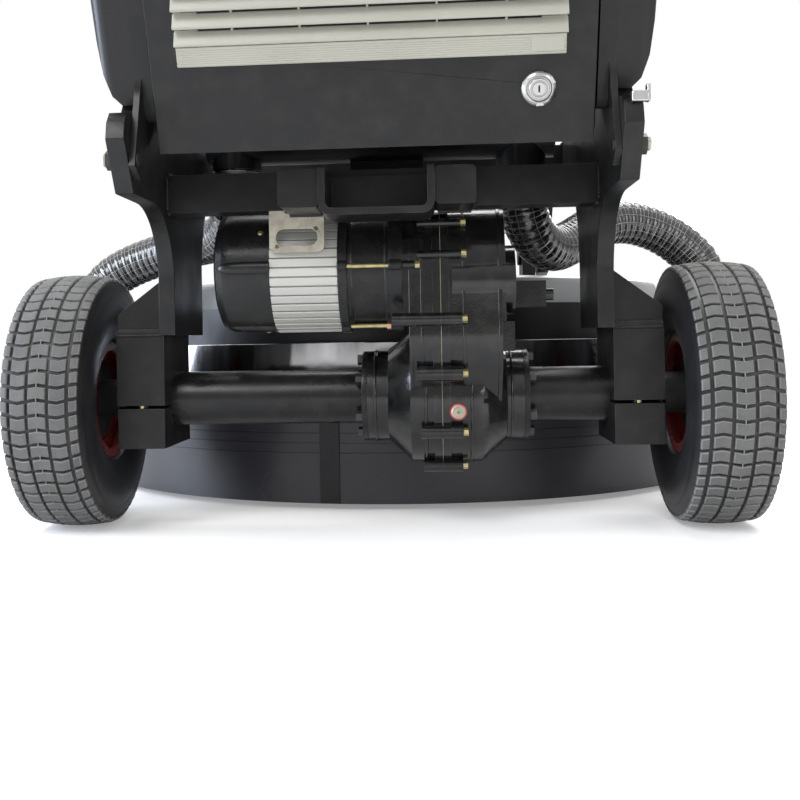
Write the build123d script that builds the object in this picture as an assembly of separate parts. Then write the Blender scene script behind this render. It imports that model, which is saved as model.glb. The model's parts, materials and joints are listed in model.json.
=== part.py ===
"""Walk-behind planetary concrete floor grinder with a driven axle.

Everything is modelled in an axle frame: X across, +Y towards the grinding head, +Z up, Y = 0 at
the axle and Z = 0 on the floor. write() moves it so that the origin is under the box's middle.
"""

import os
from math import acos, cos, hypot, pi, radians, sin, tan, atan2, degrees

from build123d import *

# ---------------------------------------------------------------- driving dimensions (mm)
GAP = 0.3            # clearance between parts that do not fit each other
RUN = 0.06           # radial clearance of a running fit

TYRE_R = 165
TYRE_W = 107
WHEEL_X = 407.5      # wheel centre from the middle
RIM_R = 77
AXLE_Z = TYRE_R
HALF_SHAFT_R = 15
AXLE_TUBE_R = 35
AXLE_TUBE_END = 344
FLANGE_T = 7

PLATE_X = 256        # inner face of each side frame plate
PLATE_T = 20
PLATE_OUT = PLATE_X + PLATE_T
BLOCK_X0, BLOCK_X1 = 279, 340
BLOCK_Y = 66
BLOCK_Z0, BLOCK_Z1 = 105, 248
SPLIT_Z0, SPLIT_Z1 = 155.5, 159.5
FOOT_T = 6
BEAM_Z0, BEAM_Z1 = 470, 530
BAR_D, BAR_H = 40, 46   # rear cross tube
BAR_Y0, BAR_Z0 = -126, 394
FRONT_BAR_Y = 215

SPLIT_X = 70         # joint plane of the gear case
CASE_WALL = 7
MOTOR_Y, MOTOR_Z = -40, 327
MOTOR_R = 77
CASE_X0, CASE_X1 = 25, 147
LOWER_X0, LOWER_X1 = 32, 143
STEP_Z = 258         # the case is narrower below this height
BELL_X0, BELL_X1 = -24, 172
PINION_TEETH, IDLER_TEETH, FIRST_MODULE = 18, 65, 2.0
SMALL_TEETH, RING_TEETH, SECOND_MODULE = 16, 56, 2.5

LEAN = 22            # the cabinet leans back by this many degrees
DOOR_Y, DOOR_Z = -238, 445
DOOR_HALF, DOOR_H, DOOR_DEPTH = 234, 600, 20
SHELL_HALF, SHELL_T = 238, 4
SHELL_V0, SHELL_V1 = 8, 620
SHELL_W0, SHELL_W1 = 22, 260
LOUVER_HALF, LOUVER_V0, LOUVER_V1 = 203, 93, 499
LOCK_X, LOCK_V, LOCK_R = 175.5, 57, 18.5
HINGE_X, HINGE_W = -239, -5
HINGE_V = (260, 480)
UPRIGHT_V0, UPRIGHT_V1 = 29, 668
UPRIGHT_W0, UPRIGHT_W1 = 14, 62
REAR_BOLT_Y, REAR_BOLT_Z = -272, 434
CONSOLE_TOP, CONSOLE_HALF = 690, 186
HANDLE_V, HANDLE_W = 645, 40
HANDLE_X = 207
HANDLE_REACH, HANDLE_RISE = 300, 42
HANDLE_R, GRIP_R = 16, 19.5

HEAD_Y = 654         # centre of the grinding head
HEAD_R = 561
PIVOT_Z = 395
PIVOT_R = 20
LUG_X0, LUG_X1 = 226, 250
DRUM_R, DRUM_Z0, DRUM_Z1 = 538, 212, 288
PEDESTAL_R, PEDESTAL_Z = 262, 340
COVER_R, COVER_Z = 470, 332
CARRIER_Z0, CARRIER_Z1 = 70, 92
CARRIER_R = 515
CARRIER_SHAFT_R = 45
PLANETS = 4
ORBIT = 350
SUN_TEETH, PLANET_TEETH, HEAD_MODULE = 60, 40, 7.0
SPINDLE_R = 22
DISC_R = 165
MOTOR_BODY_R = 140
MOTOR_BASE_Z, MOTOR_TOP_Z, COWL_TOP_Z = 358, 640, 740

HOSE_R = 32.5
SPIGOT_R = 24
SPIGOT_Z = 260
ELBOW_X, ELBOW_Y, ELBOW_Z = 470, 259, 290
MANIFOLD_Y, MANIFOLD_Z, MANIFOLD_R = 72, 520, 38
OUTLET_Z0, OUTLET_Z1 = 560, 640

REAR_Y = (DOOR_Y - HANDLE_V * sin(radians(LEAN)) + HANDLE_W * cos(radians(LEAN))
          - HANDLE_REACH - GRIP_R)
MID_Y = (REAR_Y + HEAD_Y + HEAD_R) / 2

CAB = Plane(origin=(0, DOOR_Y, DOOR_Z), x_dir=(1, 0, 0),
            z_dir=(0, -cos(radians(LEAN)), -sin(radians(LEAN)))).location

parts = {}


# ---------------------------------------------------------------- helpers
def box(x0, x1, y0, y1, z0, z1):
    """Box between two corners."""
    return Pos((x0 + x1) / 2, (y0 + y1) / 2, (z0 + z1) / 2) * Box(x1 - x0, y1 - y0, z1 - z0)


def rod_x(r, x0, x1, y, z):
    """Cylinder along X."""
    return Pos((x0 + x1) / 2, y, z) * Rot(0, 90, 0) * Cylinder(r, abs(x1 - x0))


def rod_y(r, y0, y1, x, z):
    """Cylinder along Y."""
    return Pos(x, (y0 + y1) / 2, z) * Rot(90, 0, 0) * Cylinder(r, abs(y1 - y0))


def rod_z(r, z0, z1, x, y):
    """Cylinder along Z."""
    return Pos(x, y, (z0 + z1) / 2) * Cylinder(r, abs(z1 - z0))


def cab_box(x0, x1, v0, v1, w0, w1):
    """Box in the leaning cabinet: v up the door, w forwards from its face."""
    return CAB * Pos((x0 + x1) / 2, (v0 + v1) / 2, -(w0 + w1) / 2) * Box(x1 - x0, v1 - v0, w1 - w0)


def cab_rod_w(r, w0, w1, x, v):
    """Cylinder square to the door."""
    return CAB * Pos(x, v, -(w0 + w1) / 2) * Cylinder(r, abs(w1 - w0))


def cab_rod_v(r, v0, v1, x, w):
    """Cylinder up the door."""
    return CAB * Pos(x, (v0 + v1) / 2, -w) * Rot(90, 0, 0) * Cylinder(r, abs(v1 - v0))


def cab_point(v, w):
    """Y and Z of a point in the leaning cabinet."""
    lean = radians(LEAN)
    return DOOR_Y - v * sin(lean) + w * cos(lean), DOOR_Z + v * cos(lean) + w * sin(lean)


def prism_x(outline, x0, x1):
    """Side-view outline of (Y, Z) points, extruded from x0 to x1."""
    return extrude(Plane.YZ.offset(x0) * make_face(Polyline(*outline, close=True)), x1 - x0)


def turn_x(profile, y, z):
    """Profile of (X, radius) points turned about an axis along X."""
    return Pos(0, y, z) * revolve(make_face(Polyline(*profile, close=True)), Axis.X)


def turn_z(profile, x=0, y=0):
    """Profile of (radius, Z) points turned about a vertical axis."""
    return Pos(x, y, 0) * revolve(Plane.XZ * make_face(Polyline(*profile, close=True)), Axis.Z)


def hexagon_x(across, x0, x1, y, z):
    """Hexagon bolt head or nut along X."""
    head = extrude(RegularPolygon(across / 2, 6, major_radius=False), abs(x1 - x0) / 2, both=True)
    return Pos((x0 + x1) / 2, y, z) * Rot(0, 90, 0) * head


def hexagon_z(across, z0, z1, x, y):
    """Hexagon bolt head or nut along Z."""
    head = extrude(RegularPolygon(across / 2, 6, major_radius=False), abs(z1 - z0) / 2, both=True)
    return Pos(x, y, (z0 + z1) / 2) * head


def both(shape):
    """A shape and its mirror image on the other side."""
    return [shape, mirror(shape, about=Plane.YZ)]


def gear_outline(module, teeth, backlash):
    """Outline of a spur gear with involute flanks, one tooth centred on local +x."""
    pitch = module * teeth / 2
    base = pitch * cos(radians(20))
    tip, root = pitch + 0.92 * module, pitch - 1.2 * module
    inv20 = tan(radians(20)) - radians(20)
    half = pi / (2 * teeth) - backlash / (2 * pitch)
    start = max(base, root)
    flank = []
    for step in range(4):
        r = start + (tip - start) * step / 3
        pressure = acos(min(1, base / r))
        flank.append((r, half + inv20 - (tan(pressure) - pressure)))
    if root < base:
        flank.insert(0, (root, flank[0][1]))
    points = []
    for tooth in range(teeth):
        middle = 2 * pi * tooth / teeth
        for r, offset in flank:
            points.append((r * cos(middle - offset), r * sin(middle - offset)))
        for r, offset in reversed(flank):
            points.append((r * cos(middle + offset), r * sin(middle + offset)))
    return points


def gear_x(module, teeth, x0, x1, y, z, turn, backlash=0.3):
    """Spur gear about an axis along X; turn is the angle of a tooth from +Y towards +Z."""
    face = make_face(Polyline(*gear_outline(module, teeth, backlash), close=True))
    return Pos(0, y, z) * Rot(turn, 0, 0) * extrude(Plane.YZ.offset(x0) * face, x1 - x0)


def gear_z(module, teeth, z0, z1, x, y, turn, backlash=0.6):
    """Spur gear about a vertical axis; turn is the angle of a tooth from +X."""
    face = make_face(Polyline(*gear_outline(module, teeth, backlash), close=True))
    return Pos(x, y, z0) * Rot(0, 0, turn) * extrude(face, z1 - z0)


def tube_path(name, points):
    """Straight runs joined by tangent arcs, each as large as its two runs allow."""
    corners = [Vector(*p) for p in points]
    radii = []
    for before, corner, after in zip(corners, corners[1:], corners[2:]):
        first, second = corner - before, after - corner
        half_turn = radians(first.get_angle(second)) / 2
        radii.append(0.45 * min(first.length, second.length) / tan(half_turn))
    print(name, "bend radii", [round(r) for r in radii])
    return FilletPolyline(*points, radius=radii)


def write(name, *shapes):
    """Collects the solids of one node, moved to the row's origin."""
    solids = []
    for shape in shapes:
        for piece in (shape if isinstance(shape, (list, tuple)) else [shape]):
            solids += piece.solids()
    solids = [Pos(0, -MID_Y, 0) * solid for solid in solids]
    parts[name] = solids[0] if len(solids) == 1 else Compound(children=solids)


# ---------------------------------------------------------------- wheels and half shafts
def tyre(x):
    """Pneumatic tyre, open to the rim, with shallow grooves between its tread rows."""
    half, r = TYRE_W / 2, TYRE_R
    outer = [(-41, RIM_R + 0.3), (-50, 92), (-half, 112), (-52, 132), (-47, 148), (-43, 157),
             (-40, 160), (-20, 164), (0, r), (20, 164), (40, 160), (43, 157), (47, 148),
             (52, 132), (half, 112), (50, 92), (41, RIM_R + 0.3)]
    inner = [(32, RIM_R + 0.3), (40, 94), (44, 112), (42, 132), (36, 148), (18, 154), (0, 155),
             (-18, 154), (-36, 148), (-42, 132), (-44, 112), (-40, 94), (-32, RIM_R + 0.3)]
    return Pos(x, 0, 0) * turn_x(outer + inner, 0, AXLE_Z)


def rim(x):
    """Pressed steel wheel: a dropped well, bead seats and a dished disc; +X is its outer side."""
    profile = [(-40, 65), (-40, RIM_R), (-26, RIM_R), (-20, 62), (20, 62), (26, RIM_R),
               (40, RIM_R), (40, 65), (36, 65), (36, 72), (29, 72), (23, 58), (-8, 58), (-12, 20),
               (-17, 20), (-14, 58), (-23, 58), (-29, 72), (-36, 72), (-36, 65)]
    wheel = turn_x(profile, 0, AXLE_Z)
    for index in range(4):
        angle = radians(45 + 90 * index)
        wheel -= rod_x(6.3, -30, 0, 38 * cos(angle), AXLE_Z + 38 * sin(angle))
        angle += radians(45)
        wheel -= rod_x(8, -30, 0, 46 * cos(angle), AXLE_Z + 46 * sin(angle))
    return Pos(x, 0, 0) * wheel


def half_shaft(inner):
    """Right half shaft from its inner end: shaft, hub flange, four wheel studs and nuts."""
    hub_x = WHEEL_X - 17.5
    shaft = rod_x(HALF_SHAFT_R, inner, hub_x, 0, AXLE_Z)
    shaft += rod_x(52, hub_x - 8, hub_x, 0, AXLE_Z)
    shaft += rod_x(26, AXLE_TUBE_END + 5, hub_x - 8, 0, AXLE_Z)
    shaft += rod_x(19.7, hub_x, hub_x + 14, 0, AXLE_Z)
    pieces = [shaft]
    for index in range(4):
        angle = radians(45 + 90 * index)
        y, z = 38 * cos(angle), AXLE_Z + 38 * sin(angle)
        nut = hexagon_x(17, WHEEL_X - 8, WHEEL_X + 2, y, z)
        pieces[0] += rod_x(6, hub_x, WHEEL_X - 8, y, z)
        pieces.append(nut + rod_x(6, WHEEL_X + 2, WHEEL_X + 8, y, z))
    return pieces


def make_wheels():
    """Both road wheels."""
    write("tyre_right", tyre(WHEEL_X))
    write("tyre_left", tyre(-WHEEL_X))
    right_rim = rim(WHEEL_X)
    write("rim_right", right_rim)
    write("rim_left", mirror(right_rim, about=Plane.YZ))
    write("half_shaft_right", half_shaft(SPLIT_X + 2))
    write("half_shaft_left", [mirror(piece, about=Plane.YZ) for piece in half_shaft(2 - SPLIT_X)])


# ---------------------------------------------------------------- transaxle
FIRST_GAP = FIRST_MODULE * (PINION_TEETH + IDLER_TEETH) / 2
SECOND_GAP = SECOND_MODULE * (SMALL_TEETH + RING_TEETH) / 2
CENTRES = hypot(MOTOR_Y, MOTOR_Z - AXLE_Z)
SLOPE = degrees(atan2(AXLE_Z - MOTOR_Z, -MOTOR_Y))
ALONG = (FIRST_GAP ** 2 - SECOND_GAP ** 2 + CENTRES ** 2) / (2 * CENTRES)
FIRST_LINE = SLOPE - degrees(acos(ALONG / FIRST_GAP))
IDLER_Y = MOTOR_Y + FIRST_GAP * cos(radians(FIRST_LINE))
IDLER_Z = MOTOR_Z + FIRST_GAP * sin(radians(FIRST_LINE))
SECOND_LINE = degrees(atan2(AXLE_Z - IDLER_Z, -IDLER_Y))
CASE_MOTOR_R, CASE_IDLER_R, CASE_RING_R, BELL_R = 77, 75, 50, 86


def case_outline(grow):
    """Side view of the gear case: three circles wrapped by tangents."""
    circles = [(MOTOR_Y, MOTOR_Z, CASE_MOTOR_R), (IDLER_Y, IDLER_Z, CASE_IDLER_R),
               (0, AXLE_Z, CASE_RING_R)]
    edges = []
    for y, z, r in circles:
        edges += Edge.make_circle(r + grow, Plane(origin=(y, z, 0))).edges()
    return make_hull(edges)


def case_upper(x0, x1, grow):
    """Upper gear case block between two stations."""
    return extrude(Plane.YZ.offset(x0) * case_outline(grow), x1 - x0)


def boss(centre, r, angle, size, start):
    """One bolt boss just outside a case circle: Y, Z, radius and left end.

    The angle is from -Y towards +Z.
    """
    reach = r + size - 1
    y, z = centre
    return y - reach * cos(radians(angle)), z + reach * sin(radians(angle)), size, start


MOTOR_AT, IDLER_AT, AXLE_AT = (MOTOR_Y, MOTOR_Z), (IDLER_Y, IDLER_Z), (0, AXLE_Z)
BOSSES = [boss(MOTOR_AT, CASE_MOTOR_R, 8, 5, 43), boss(MOTOR_AT, CASE_MOTOR_R, 38, 5, 43),
          boss(MOTOR_AT, CASE_MOTOR_R, 100, 7, 40), boss(MOTOR_AT, CASE_MOTOR_R, 170, 7, 40),
          boss(IDLER_AT, CASE_IDLER_R, 12, 8, 12), boss(IDLER_AT, CASE_IDLER_R, -35, 9, 40),
          boss(AXLE_AT, BELL_R, 150, 8, 46), boss(AXLE_AT, BELL_R, -26, 8, 44),
          boss(AXLE_AT, BELL_R, -70, 8, 46), boss(AXLE_AT, BELL_R, -118, 8, 46)]


def gear_case():
    """Two cast halves that meet at SPLIT_X, with bolt bosses round the joint."""
    left = case_upper(CASE_X0, SPLIT_X, 0)
    left -= box(CASE_X0 - 1, LOWER_X0, -200, 200, 0, STEP_Z)
    left += turn_x([(BELL_X0, 0), (BELL_X0, 58), (2, 58), (31, 85), (SPLIT_X, BELL_R),
                    (SPLIT_X, 0)], 0, AXLE_Z)
    left += turn_x([(SPLIT_X - 10, 0), (SPLIT_X - 10, BELL_R + 2), (SPLIT_X, BELL_R + 2),
                    (SPLIT_X, 0)], 0, AXLE_Z)
    right = case_upper(SPLIT_X, CASE_X1, -1)
    right -= box(LOWER_X1, CASE_X1 + 1, -200, 200, 0, STEP_Z)
    right += turn_x([(SPLIT_X, 0), (SPLIT_X, BELL_R), (120, 85), (151, 58), (BELL_X1, 58),
                     (BELL_X1, 0)], 0, AXLE_Z)
    right += turn_x([(SPLIT_X, 0), (SPLIT_X, BELL_R + 2), (SPLIT_X + 10, BELL_R + 2),
                     (SPLIT_X + 10, 0)], 0, AXLE_Z)
    right += rod_x(42, 84, 159, -78, 308)
    right += box(LOWER_X1 - 5, 157, -112, -50, 222, STEP_Z - 1)
    right += case_upper(SPLIT_X, SPLIT_X + 10, 2)
    left += case_upper(SPLIT_X - 10, SPLIT_X, 2)
    for y, z, r, start in BOSSES:
        left += rod_x(r, start, SPLIT_X, y, z)
        right += rod_x(r, SPLIT_X, 95, y, z)
    left -= case_upper(LOWER_X0 + CASE_WALL, SPLIT_X, -CASE_WALL)
    left -= turn_x([(BELL_X0 + 7, 0), (BELL_X0 + 7, 50), (4, 51), (33, 77), (SPLIT_X, 78),
                    (SPLIT_X, 0)], 0, AXLE_Z)
    right -= case_upper(SPLIT_X, LOWER_X1 - CASE_WALL, -CASE_WALL)
    right -= turn_x([(SPLIT_X, 0), (SPLIT_X, 78), (117, 77), (148, 50), (BELL_X1 - 7, 50),
                     (BELL_X1 - 7, 0)], 0, AXLE_Z)
    for y, z, r, start in BOSSES:
        left -= rod_x(2.6, start + 4, SPLIT_X, y, z)
        right -= rod_x(2.6, SPLIT_X, 95, y, z)
    left -= rod_x(10 + RUN, 10, 60, MOTOR_Y, MOTOR_Z)
    right -= rod_x(10 + RUN, 130, 144.5, MOTOR_Y, MOTOR_Z)
    right += rod_x(22, 128, LOWER_X1 - CASE_WALL, IDLER_Y, IDLER_Z)
    left -= rod_x(12 + RUN, 34, 60, IDLER_Y, IDLER_Z)
    right -= rod_x(12 + RUN, 120, 141, IDLER_Y, IDLER_Z)
    left += rod_x(38, BELL_X0 + 7, -4, 0, AXLE_Z)
    left -= rod_x(30, BELL_X0 + 9, 0, 0, AXLE_Z)
    right += rod_x(30, 150, BELL_X1 - 7, 0, AXLE_Z)
    right -= rod_x(21, 140, 162, 0, AXLE_Z)
    left -= rod_x(HALF_SHAFT_R + 2, -30, 0, 0, AXLE_Z)
    right -= rod_x(HALF_SHAFT_R + 2, 150, 180, 0, AXLE_Z)
    right += rod_y(11, -87, -74, 89, 149)
    right -= rod_y(6.3, -95, -60, 89, 149)
    plug = hexagon_plug(89, 149)
    return left, right, plug


def hexagon_plug(x, z):
    """Oil level plug on the rear of the case."""
    head = Pos(x, -90.5, z) * Rot(90, 0, 0) * extrude(RegularPolygon(8, 6), 3, both=True)
    return head + rod_y(6, -87.5, -74, x, z)


def case_bolts():
    """Hexagon bolts along X round the joint."""
    return [hexagon_x(8.5, 95, 101, y, z) + rod_x(2.4, start + 6, 95, y, z)
            for y, z, r, start in BOSSES]


def axle_tube():
    """Right axle tube with its bolting flange and an outer bearing seat."""
    tube = rod_x(AXLE_TUBE_R, BELL_X1, AXLE_TUBE_END, 0, AXLE_Z)
    tube += rod_x(58, BELL_X1, BELL_X1 + FLANGE_T, 0, AXLE_Z)
    tube -= rod_x(AXLE_TUBE_R - 7, 160, AXLE_TUBE_END - 26, 0, AXLE_Z)
    tube -= rod_x(HALF_SHAFT_R + RUN, 160, AXLE_TUBE_END + 1, 0, AXLE_Z)
    return tube


def flange_bolts(face, step):
    """Six hexagon heads standing on an axle flange."""
    heads = []
    for index in range(6):
        angle = radians(30 + 60 * index)
        y, z = 47 * cos(angle), AXLE_Z + 47 * sin(angle)
        heads.append(hexagon_x(12, face, face + step, y, z))
    return heads


def motor_end_bell():
    """Closed black end cap of the drive motor with a bearing seat and moulded recess."""
    bell = turn_x([(-206, 0), (-206, 62), (-202, 72), (-192, MOTOR_R - 1), (-135, MOTOR_R),
                   (-135, 60), (-192, 60), (-192, 26), (-180, 26), (-180, 0)], MOTOR_Y, MOTOR_Z)
    bell -= rod_x(10 + RUN, -200, -175, MOTOR_Y, MOTOR_Z)
    return bell


def motor_stator():
    """Extruded aluminium stator body with cooling fins along X."""
    body = rod_x(70, -135, -53, MOTOR_Y, MOTOR_Z)
    for index in range(30):
        fin = box(-135, -53, -1.6, 1.6, 66, 78)
        body += Pos(0, MOTOR_Y, MOTOR_Z) * Rot(12 * index, 0, 0) * fin
    return body - rod_x(58, -140, -50, MOTOR_Y, MOTOR_Z)


def motor_front_shell():
    """Black front housing between two round flanges."""
    shell = turn_x([(-53, 60), (-53, 79), (-42, 79), (-42, 71), (9, 71), (9, 79), (CASE_X0, 79),
                    (CASE_X0, 0), (9, 0), (9, 60)], MOTOR_Y, MOTOR_Z)
    shell -= rod_x(10 + RUN, 0, 30, MOTOR_Y, MOTOR_Z)
    return shell


def motor_tie_rods():
    """Five rods along the front housing, each between the two flanges."""
    rods = []
    for index in range(5):
        angle = radians(180 + 72 * index)
        y, z = MOTOR_Y + 75 * cos(angle), MOTOR_Z + 75 * sin(angle)
        rods.append(rod_x(3, -42, 9, y, z))
    return rods


def motor_bracket():
    """Zinc-plated hanger with an oblong slot, under the rear cross tube."""
    x0, x1, z0 = -133, -67, 344
    plate = box(x0, x1, BAR_Y0 + 1, BAR_Y0 + 5, z0, BAR_Z0)
    plate = fillet(plate.edges().filter_by(Axis.Y).sort_by(Axis.Z)[:2], 8)
    plate += box(x0, x1, BAR_Y0 + 5, BAR_Y0 + 24, BAR_Z0 - 4, BAR_Z0)
    y0, y1 = BAR_Y0 - 5, BAR_Y0 + 10
    x, z = (x0 + x1) / 2, 362
    plate -= box(x - 15, x + 15, y0, y1, z - 10, z + 10)
    for side in (-1, 1):
        plate -= rod_y(10, y0, y1, x + 15 * side, z)
        plate -= rod_y(2.4, y0, y1, x + 23.5 * side, z + 10.5 * side)
    return plate


def drive_gears():
    """Motor rotor with its pinion, the idler pair and the ring gear on its cage."""
    rotor = rod_x(10, -198, 143, MOTOR_Y, MOTOR_Z)
    rotor += rod_x(55, -165, -20, MOTOR_Y, MOTOR_Z)
    rotor += gear_x(FIRST_MODULE, PINION_TEETH, 92, 116, MOTOR_Y, MOTOR_Z, FIRST_LINE)
    idler = rod_x(12, 35, 139.5, IDLER_Y, IDLER_Z)
    idler += gear_x(FIRST_MODULE, IDLER_TEETH, 94, 114, IDLER_Y, IDLER_Z,
                    FIRST_LINE + 180 + 180 / IDLER_TEETH)
    idler += gear_x(SECOND_MODULE, SMALL_TEETH, 41, 68, IDLER_Y, IDLER_Z, SECOND_LINE)
    ring = gear_x(SECOND_MODULE, RING_TEETH, 43, 65, 0, AXLE_Z,
                  SECOND_LINE + 180 + 180 / RING_TEETH)
    ring += rod_x(42, 65, 88, 0, AXLE_Z) + rod_x(21 - RUN, 88, 160, 0, AXLE_Z)
    ring += rod_x(30 - RUN, -14, 43, 0, AXLE_Z)
    ring -= rod_x(HALF_SHAFT_R + 1, -25, 165, 0, AXLE_Z)
    return rotor, idler, ring


def brake_unit():
    """Small holding brake on the case's right side."""
    return box(157, 196, -96, -62, 274, 306) + rod_x(7.5, 196, 206, -79, 290)


def make_transaxle():
    """Drive motor, gear case, axle tubes and gears."""
    left, right, plug = gear_case()
    write("gearcase_left", left)
    write("gearcase_right", right + brake_unit())
    write("oil_plug", plug)
    write("brass_fasteners", case_bolts(), motor_tie_rods())
    right_tube = axle_tube()
    tube_left = rod_x(AXLE_TUBE_R, -AXLE_TUBE_END, BELL_X0, 0, AXLE_Z)
    tube_left += rod_x(58, BELL_X0 - FLANGE_T, BELL_X0, 0, AXLE_Z)
    tube_left -= rod_x(AXLE_TUBE_R - 7, -AXLE_TUBE_END + 26, -20, 0, AXLE_Z)
    tube_left -= rod_x(HALF_SHAFT_R + RUN, -AXLE_TUBE_END - 1, -20, 0, AXLE_Z)
    write("axle_tubes", tube_left, right_tube)
    write("motor_end_bell", motor_end_bell())
    write("motor_stator", motor_stator())
    write("motor_front_shell", motor_front_shell())
    write("motor_bracket", motor_bracket())
    rotor, idler, ring = drive_gears()
    write("motor_rotor", rotor)
    write("idler_gear", idler)
    write("ring_gear", ring)


# ---------------------------------------------------------------- chassis frame
def side_plate():
    """Right side plate: axle leg, swan-neck rear end and the beam forward to the head pivot."""
    outline = Polyline((-98, BLOCK_Z1), (-98, 318))
    outline += ThreePointArc((-98, 318), (-128, 376), (-190, 399))
    outline += Polyline((-190, 399), (-266, 399), (-298, 452), (-294, 470), (-284, 482),
                        (-262, 486), (-244, 488), (-214, BEAM_Z1), (560, BEAM_Z1), (690, 430))
    outline += ThreePointArc((690, 430), (696, PIVOT_Z - 2), (HEAD_Y + 12, 355))
    outline += Polyline((HEAD_Y + 12, 355), (HEAD_Y - 20, 360), (540, BEAM_Z0), (190, BEAM_Z0))
    outline += ThreePointArc((190, BEAM_Z0), (86, 420), (54, 318))
    outline += Line((54, 318), (54, BLOCK_Z1)) + Line((54, BLOCK_Z1), (-98, BLOCK_Z1))
    plate = extrude(Plane.YZ.offset(PLATE_X) * make_face(outline), PLATE_T)
    plate -= rod_x(PIVOT_R + RUN, PLATE_X - 5, PLATE_OUT + 5, HEAD_Y, PIVOT_Z)
    plate -= rod_x(6.3, PLATE_X - 5, PLATE_OUT + 5, REAR_BOLT_Y, REAR_BOLT_Z)
    return plate


def clamp_parts():
    """Right axle clamp: upper block, lower cap and bolts whose heads sit in counterbores."""
    bore = rod_x(AXLE_TUBE_R + 0.2, BLOCK_X0 - 5, BLOCK_X1 + 5, 0, AXLE_Z)
    upper = box(BLOCK_X0, BLOCK_X1, -BLOCK_Y, BLOCK_Y, SPLIT_Z1, BLOCK_Z1) - bore
    cap = box(BLOCK_X0, BLOCK_X1, -BLOCK_Y, BLOCK_Y, BLOCK_Z0, SPLIT_Z0) - bore
    bolts = []
    middle = (BLOCK_X0 + BLOCK_X1) / 2
    for y in (-50, 50):
        hole = rod_z(6.3, BLOCK_Z0 - 5, BLOCK_Z1 - 20, middle, y)
        cap -= hole + rod_z(11.5, BLOCK_Z0 - 5, BLOCK_Z0 + 10, middle, y)
        upper -= hole
        bolts.append(rod_z(6, BLOCK_Z0 + 2, BLOCK_Z1 - 24, middle, y)
                     + hexagon_z(19, BLOCK_Z0 + 2, BLOCK_Z0 + 10, middle, y))
    return upper, cap, bolts


def gusset_foot():
    """Right foot plate on the clamp block, with the gusset that braces the leg."""
    top = BLOCK_Z1 + FOOT_T
    foot = box(PLATE_OUT - 1, BLOCK_X1, -BLOCK_Y, BLOCK_Y, BLOCK_Z1, top)
    gusset = extrude(Plane.XZ.offset(52) * make_face(Polyline(
        (PLATE_OUT - 1, top - 1), (BLOCK_X1, top - 1), (BLOCK_X1, 274), (PLATE_OUT - 1, 323),
        close=True)), 10)
    return foot + gusset


def crossbars():
    """Rear square tube with two short stubs and a tray between them, and the front tube."""
    y1, z1 = BAR_Y0 + BAR_D, BAR_Z0 + BAR_H
    rear = box(-PLATE_X, PLATE_X, BAR_Y0, y1, BAR_Z0, z1)
    rear -= box(-PLATE_X - 1, PLATE_X + 1, BAR_Y0 + 4, y1 - 4, BAR_Z0 + 4, z1 - 4)
    for side in (-1, 1):
        stub = box(65, 111, -198, BAR_Y0, 388, 431)
        stub = fillet(stub.edges().filter_by(Axis.Y), 6)
        rear += stub if side > 0 else mirror(stub, about=Plane.YZ)
    front = box(-PLATE_X, PLATE_X, FRONT_BAR_Y, FRONT_BAR_Y + 50, 476, 524)
    front -= box(-PLATE_X - 1, PLATE_X + 1, FRONT_BAR_Y + 4, FRONT_BAR_Y + 46, 480, 520)
    return rear, front


def tray():
    """Bent plate pocket between the two stubs, open at the top and the rear."""
    outer = fillet(box(-65, 65, -204, BAR_Y0, 378, 431).edges().filter_by(Axis.Y)
                   .sort_by(Axis.Z)[:2], 14)
    inner = fillet(box(-57, 57, -210, BAR_Y0 - 8, 386, 440).edges().filter_by(Axis.Y)
                   .sort_by(Axis.Z)[:2], 7)
    return outer - inner


def make_frame():
    """Side plates, clamps, cross tubes and their bolts."""
    write("side_frames", both(side_plate() + gusset_foot()))
    upper, cap, bolts = clamp_parts()
    write("axle_clamp_blocks", both(upper))
    write("axle_clamp_caps", both(cap))
    rear, front = crossbars()
    write("crossbars", rear + tray(), front)
    for bolt in list(bolts):
        bolts.append(mirror(bolt, about=Plane.YZ))
    rear_bolt = rod_x(6, PLATE_X - 8, PLATE_OUT, REAR_BOLT_Y, REAR_BOLT_Z)
    rear_bolt += hexagon_x(19, PLATE_OUT, PLATE_OUT + 6, REAR_BOLT_Y, REAR_BOLT_Z)
    pivot = rod_x(PIVOT_R, LUG_X0 - 6, PLATE_OUT + 4, HEAD_Y, PIVOT_Z)
    pivot += rod_x(28, PLATE_OUT + GAP, PLATE_OUT + 9, HEAD_Y, PIVOT_Z)
    write("frame_bolts", bolts, both(rear_bolt), both(pivot), flange_bolts(BELL_X1 + FLANGE_T, 8),
          flange_bolts(BELL_X0 - FLANGE_T, -8))


# ---------------------------------------------------------------- cabinet
def cabinet_shell():
    """Folded sheet cabinet, open at the rear where the door closes it."""
    t = SHELL_T
    shell = cab_box(-SHELL_HALF, SHELL_HALF, SHELL_V0, SHELL_V1, SHELL_W0, SHELL_W1)
    shell -= cab_box(-SHELL_HALF + t, SHELL_HALF - t, SHELL_V0 + t, SHELL_V1 - t,
                     SHELL_W0 - 5, SHELL_W1 - t)
    shell -= cab_box(-120, 120, SHELL_V0 - 5, SHELL_V0 + t + 1, 150, 200)
    shell -= cab_box(180, 210, SHELL_V0 - 5, SHELL_V0 + t + 1, 60, 120)
    return shell


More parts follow.
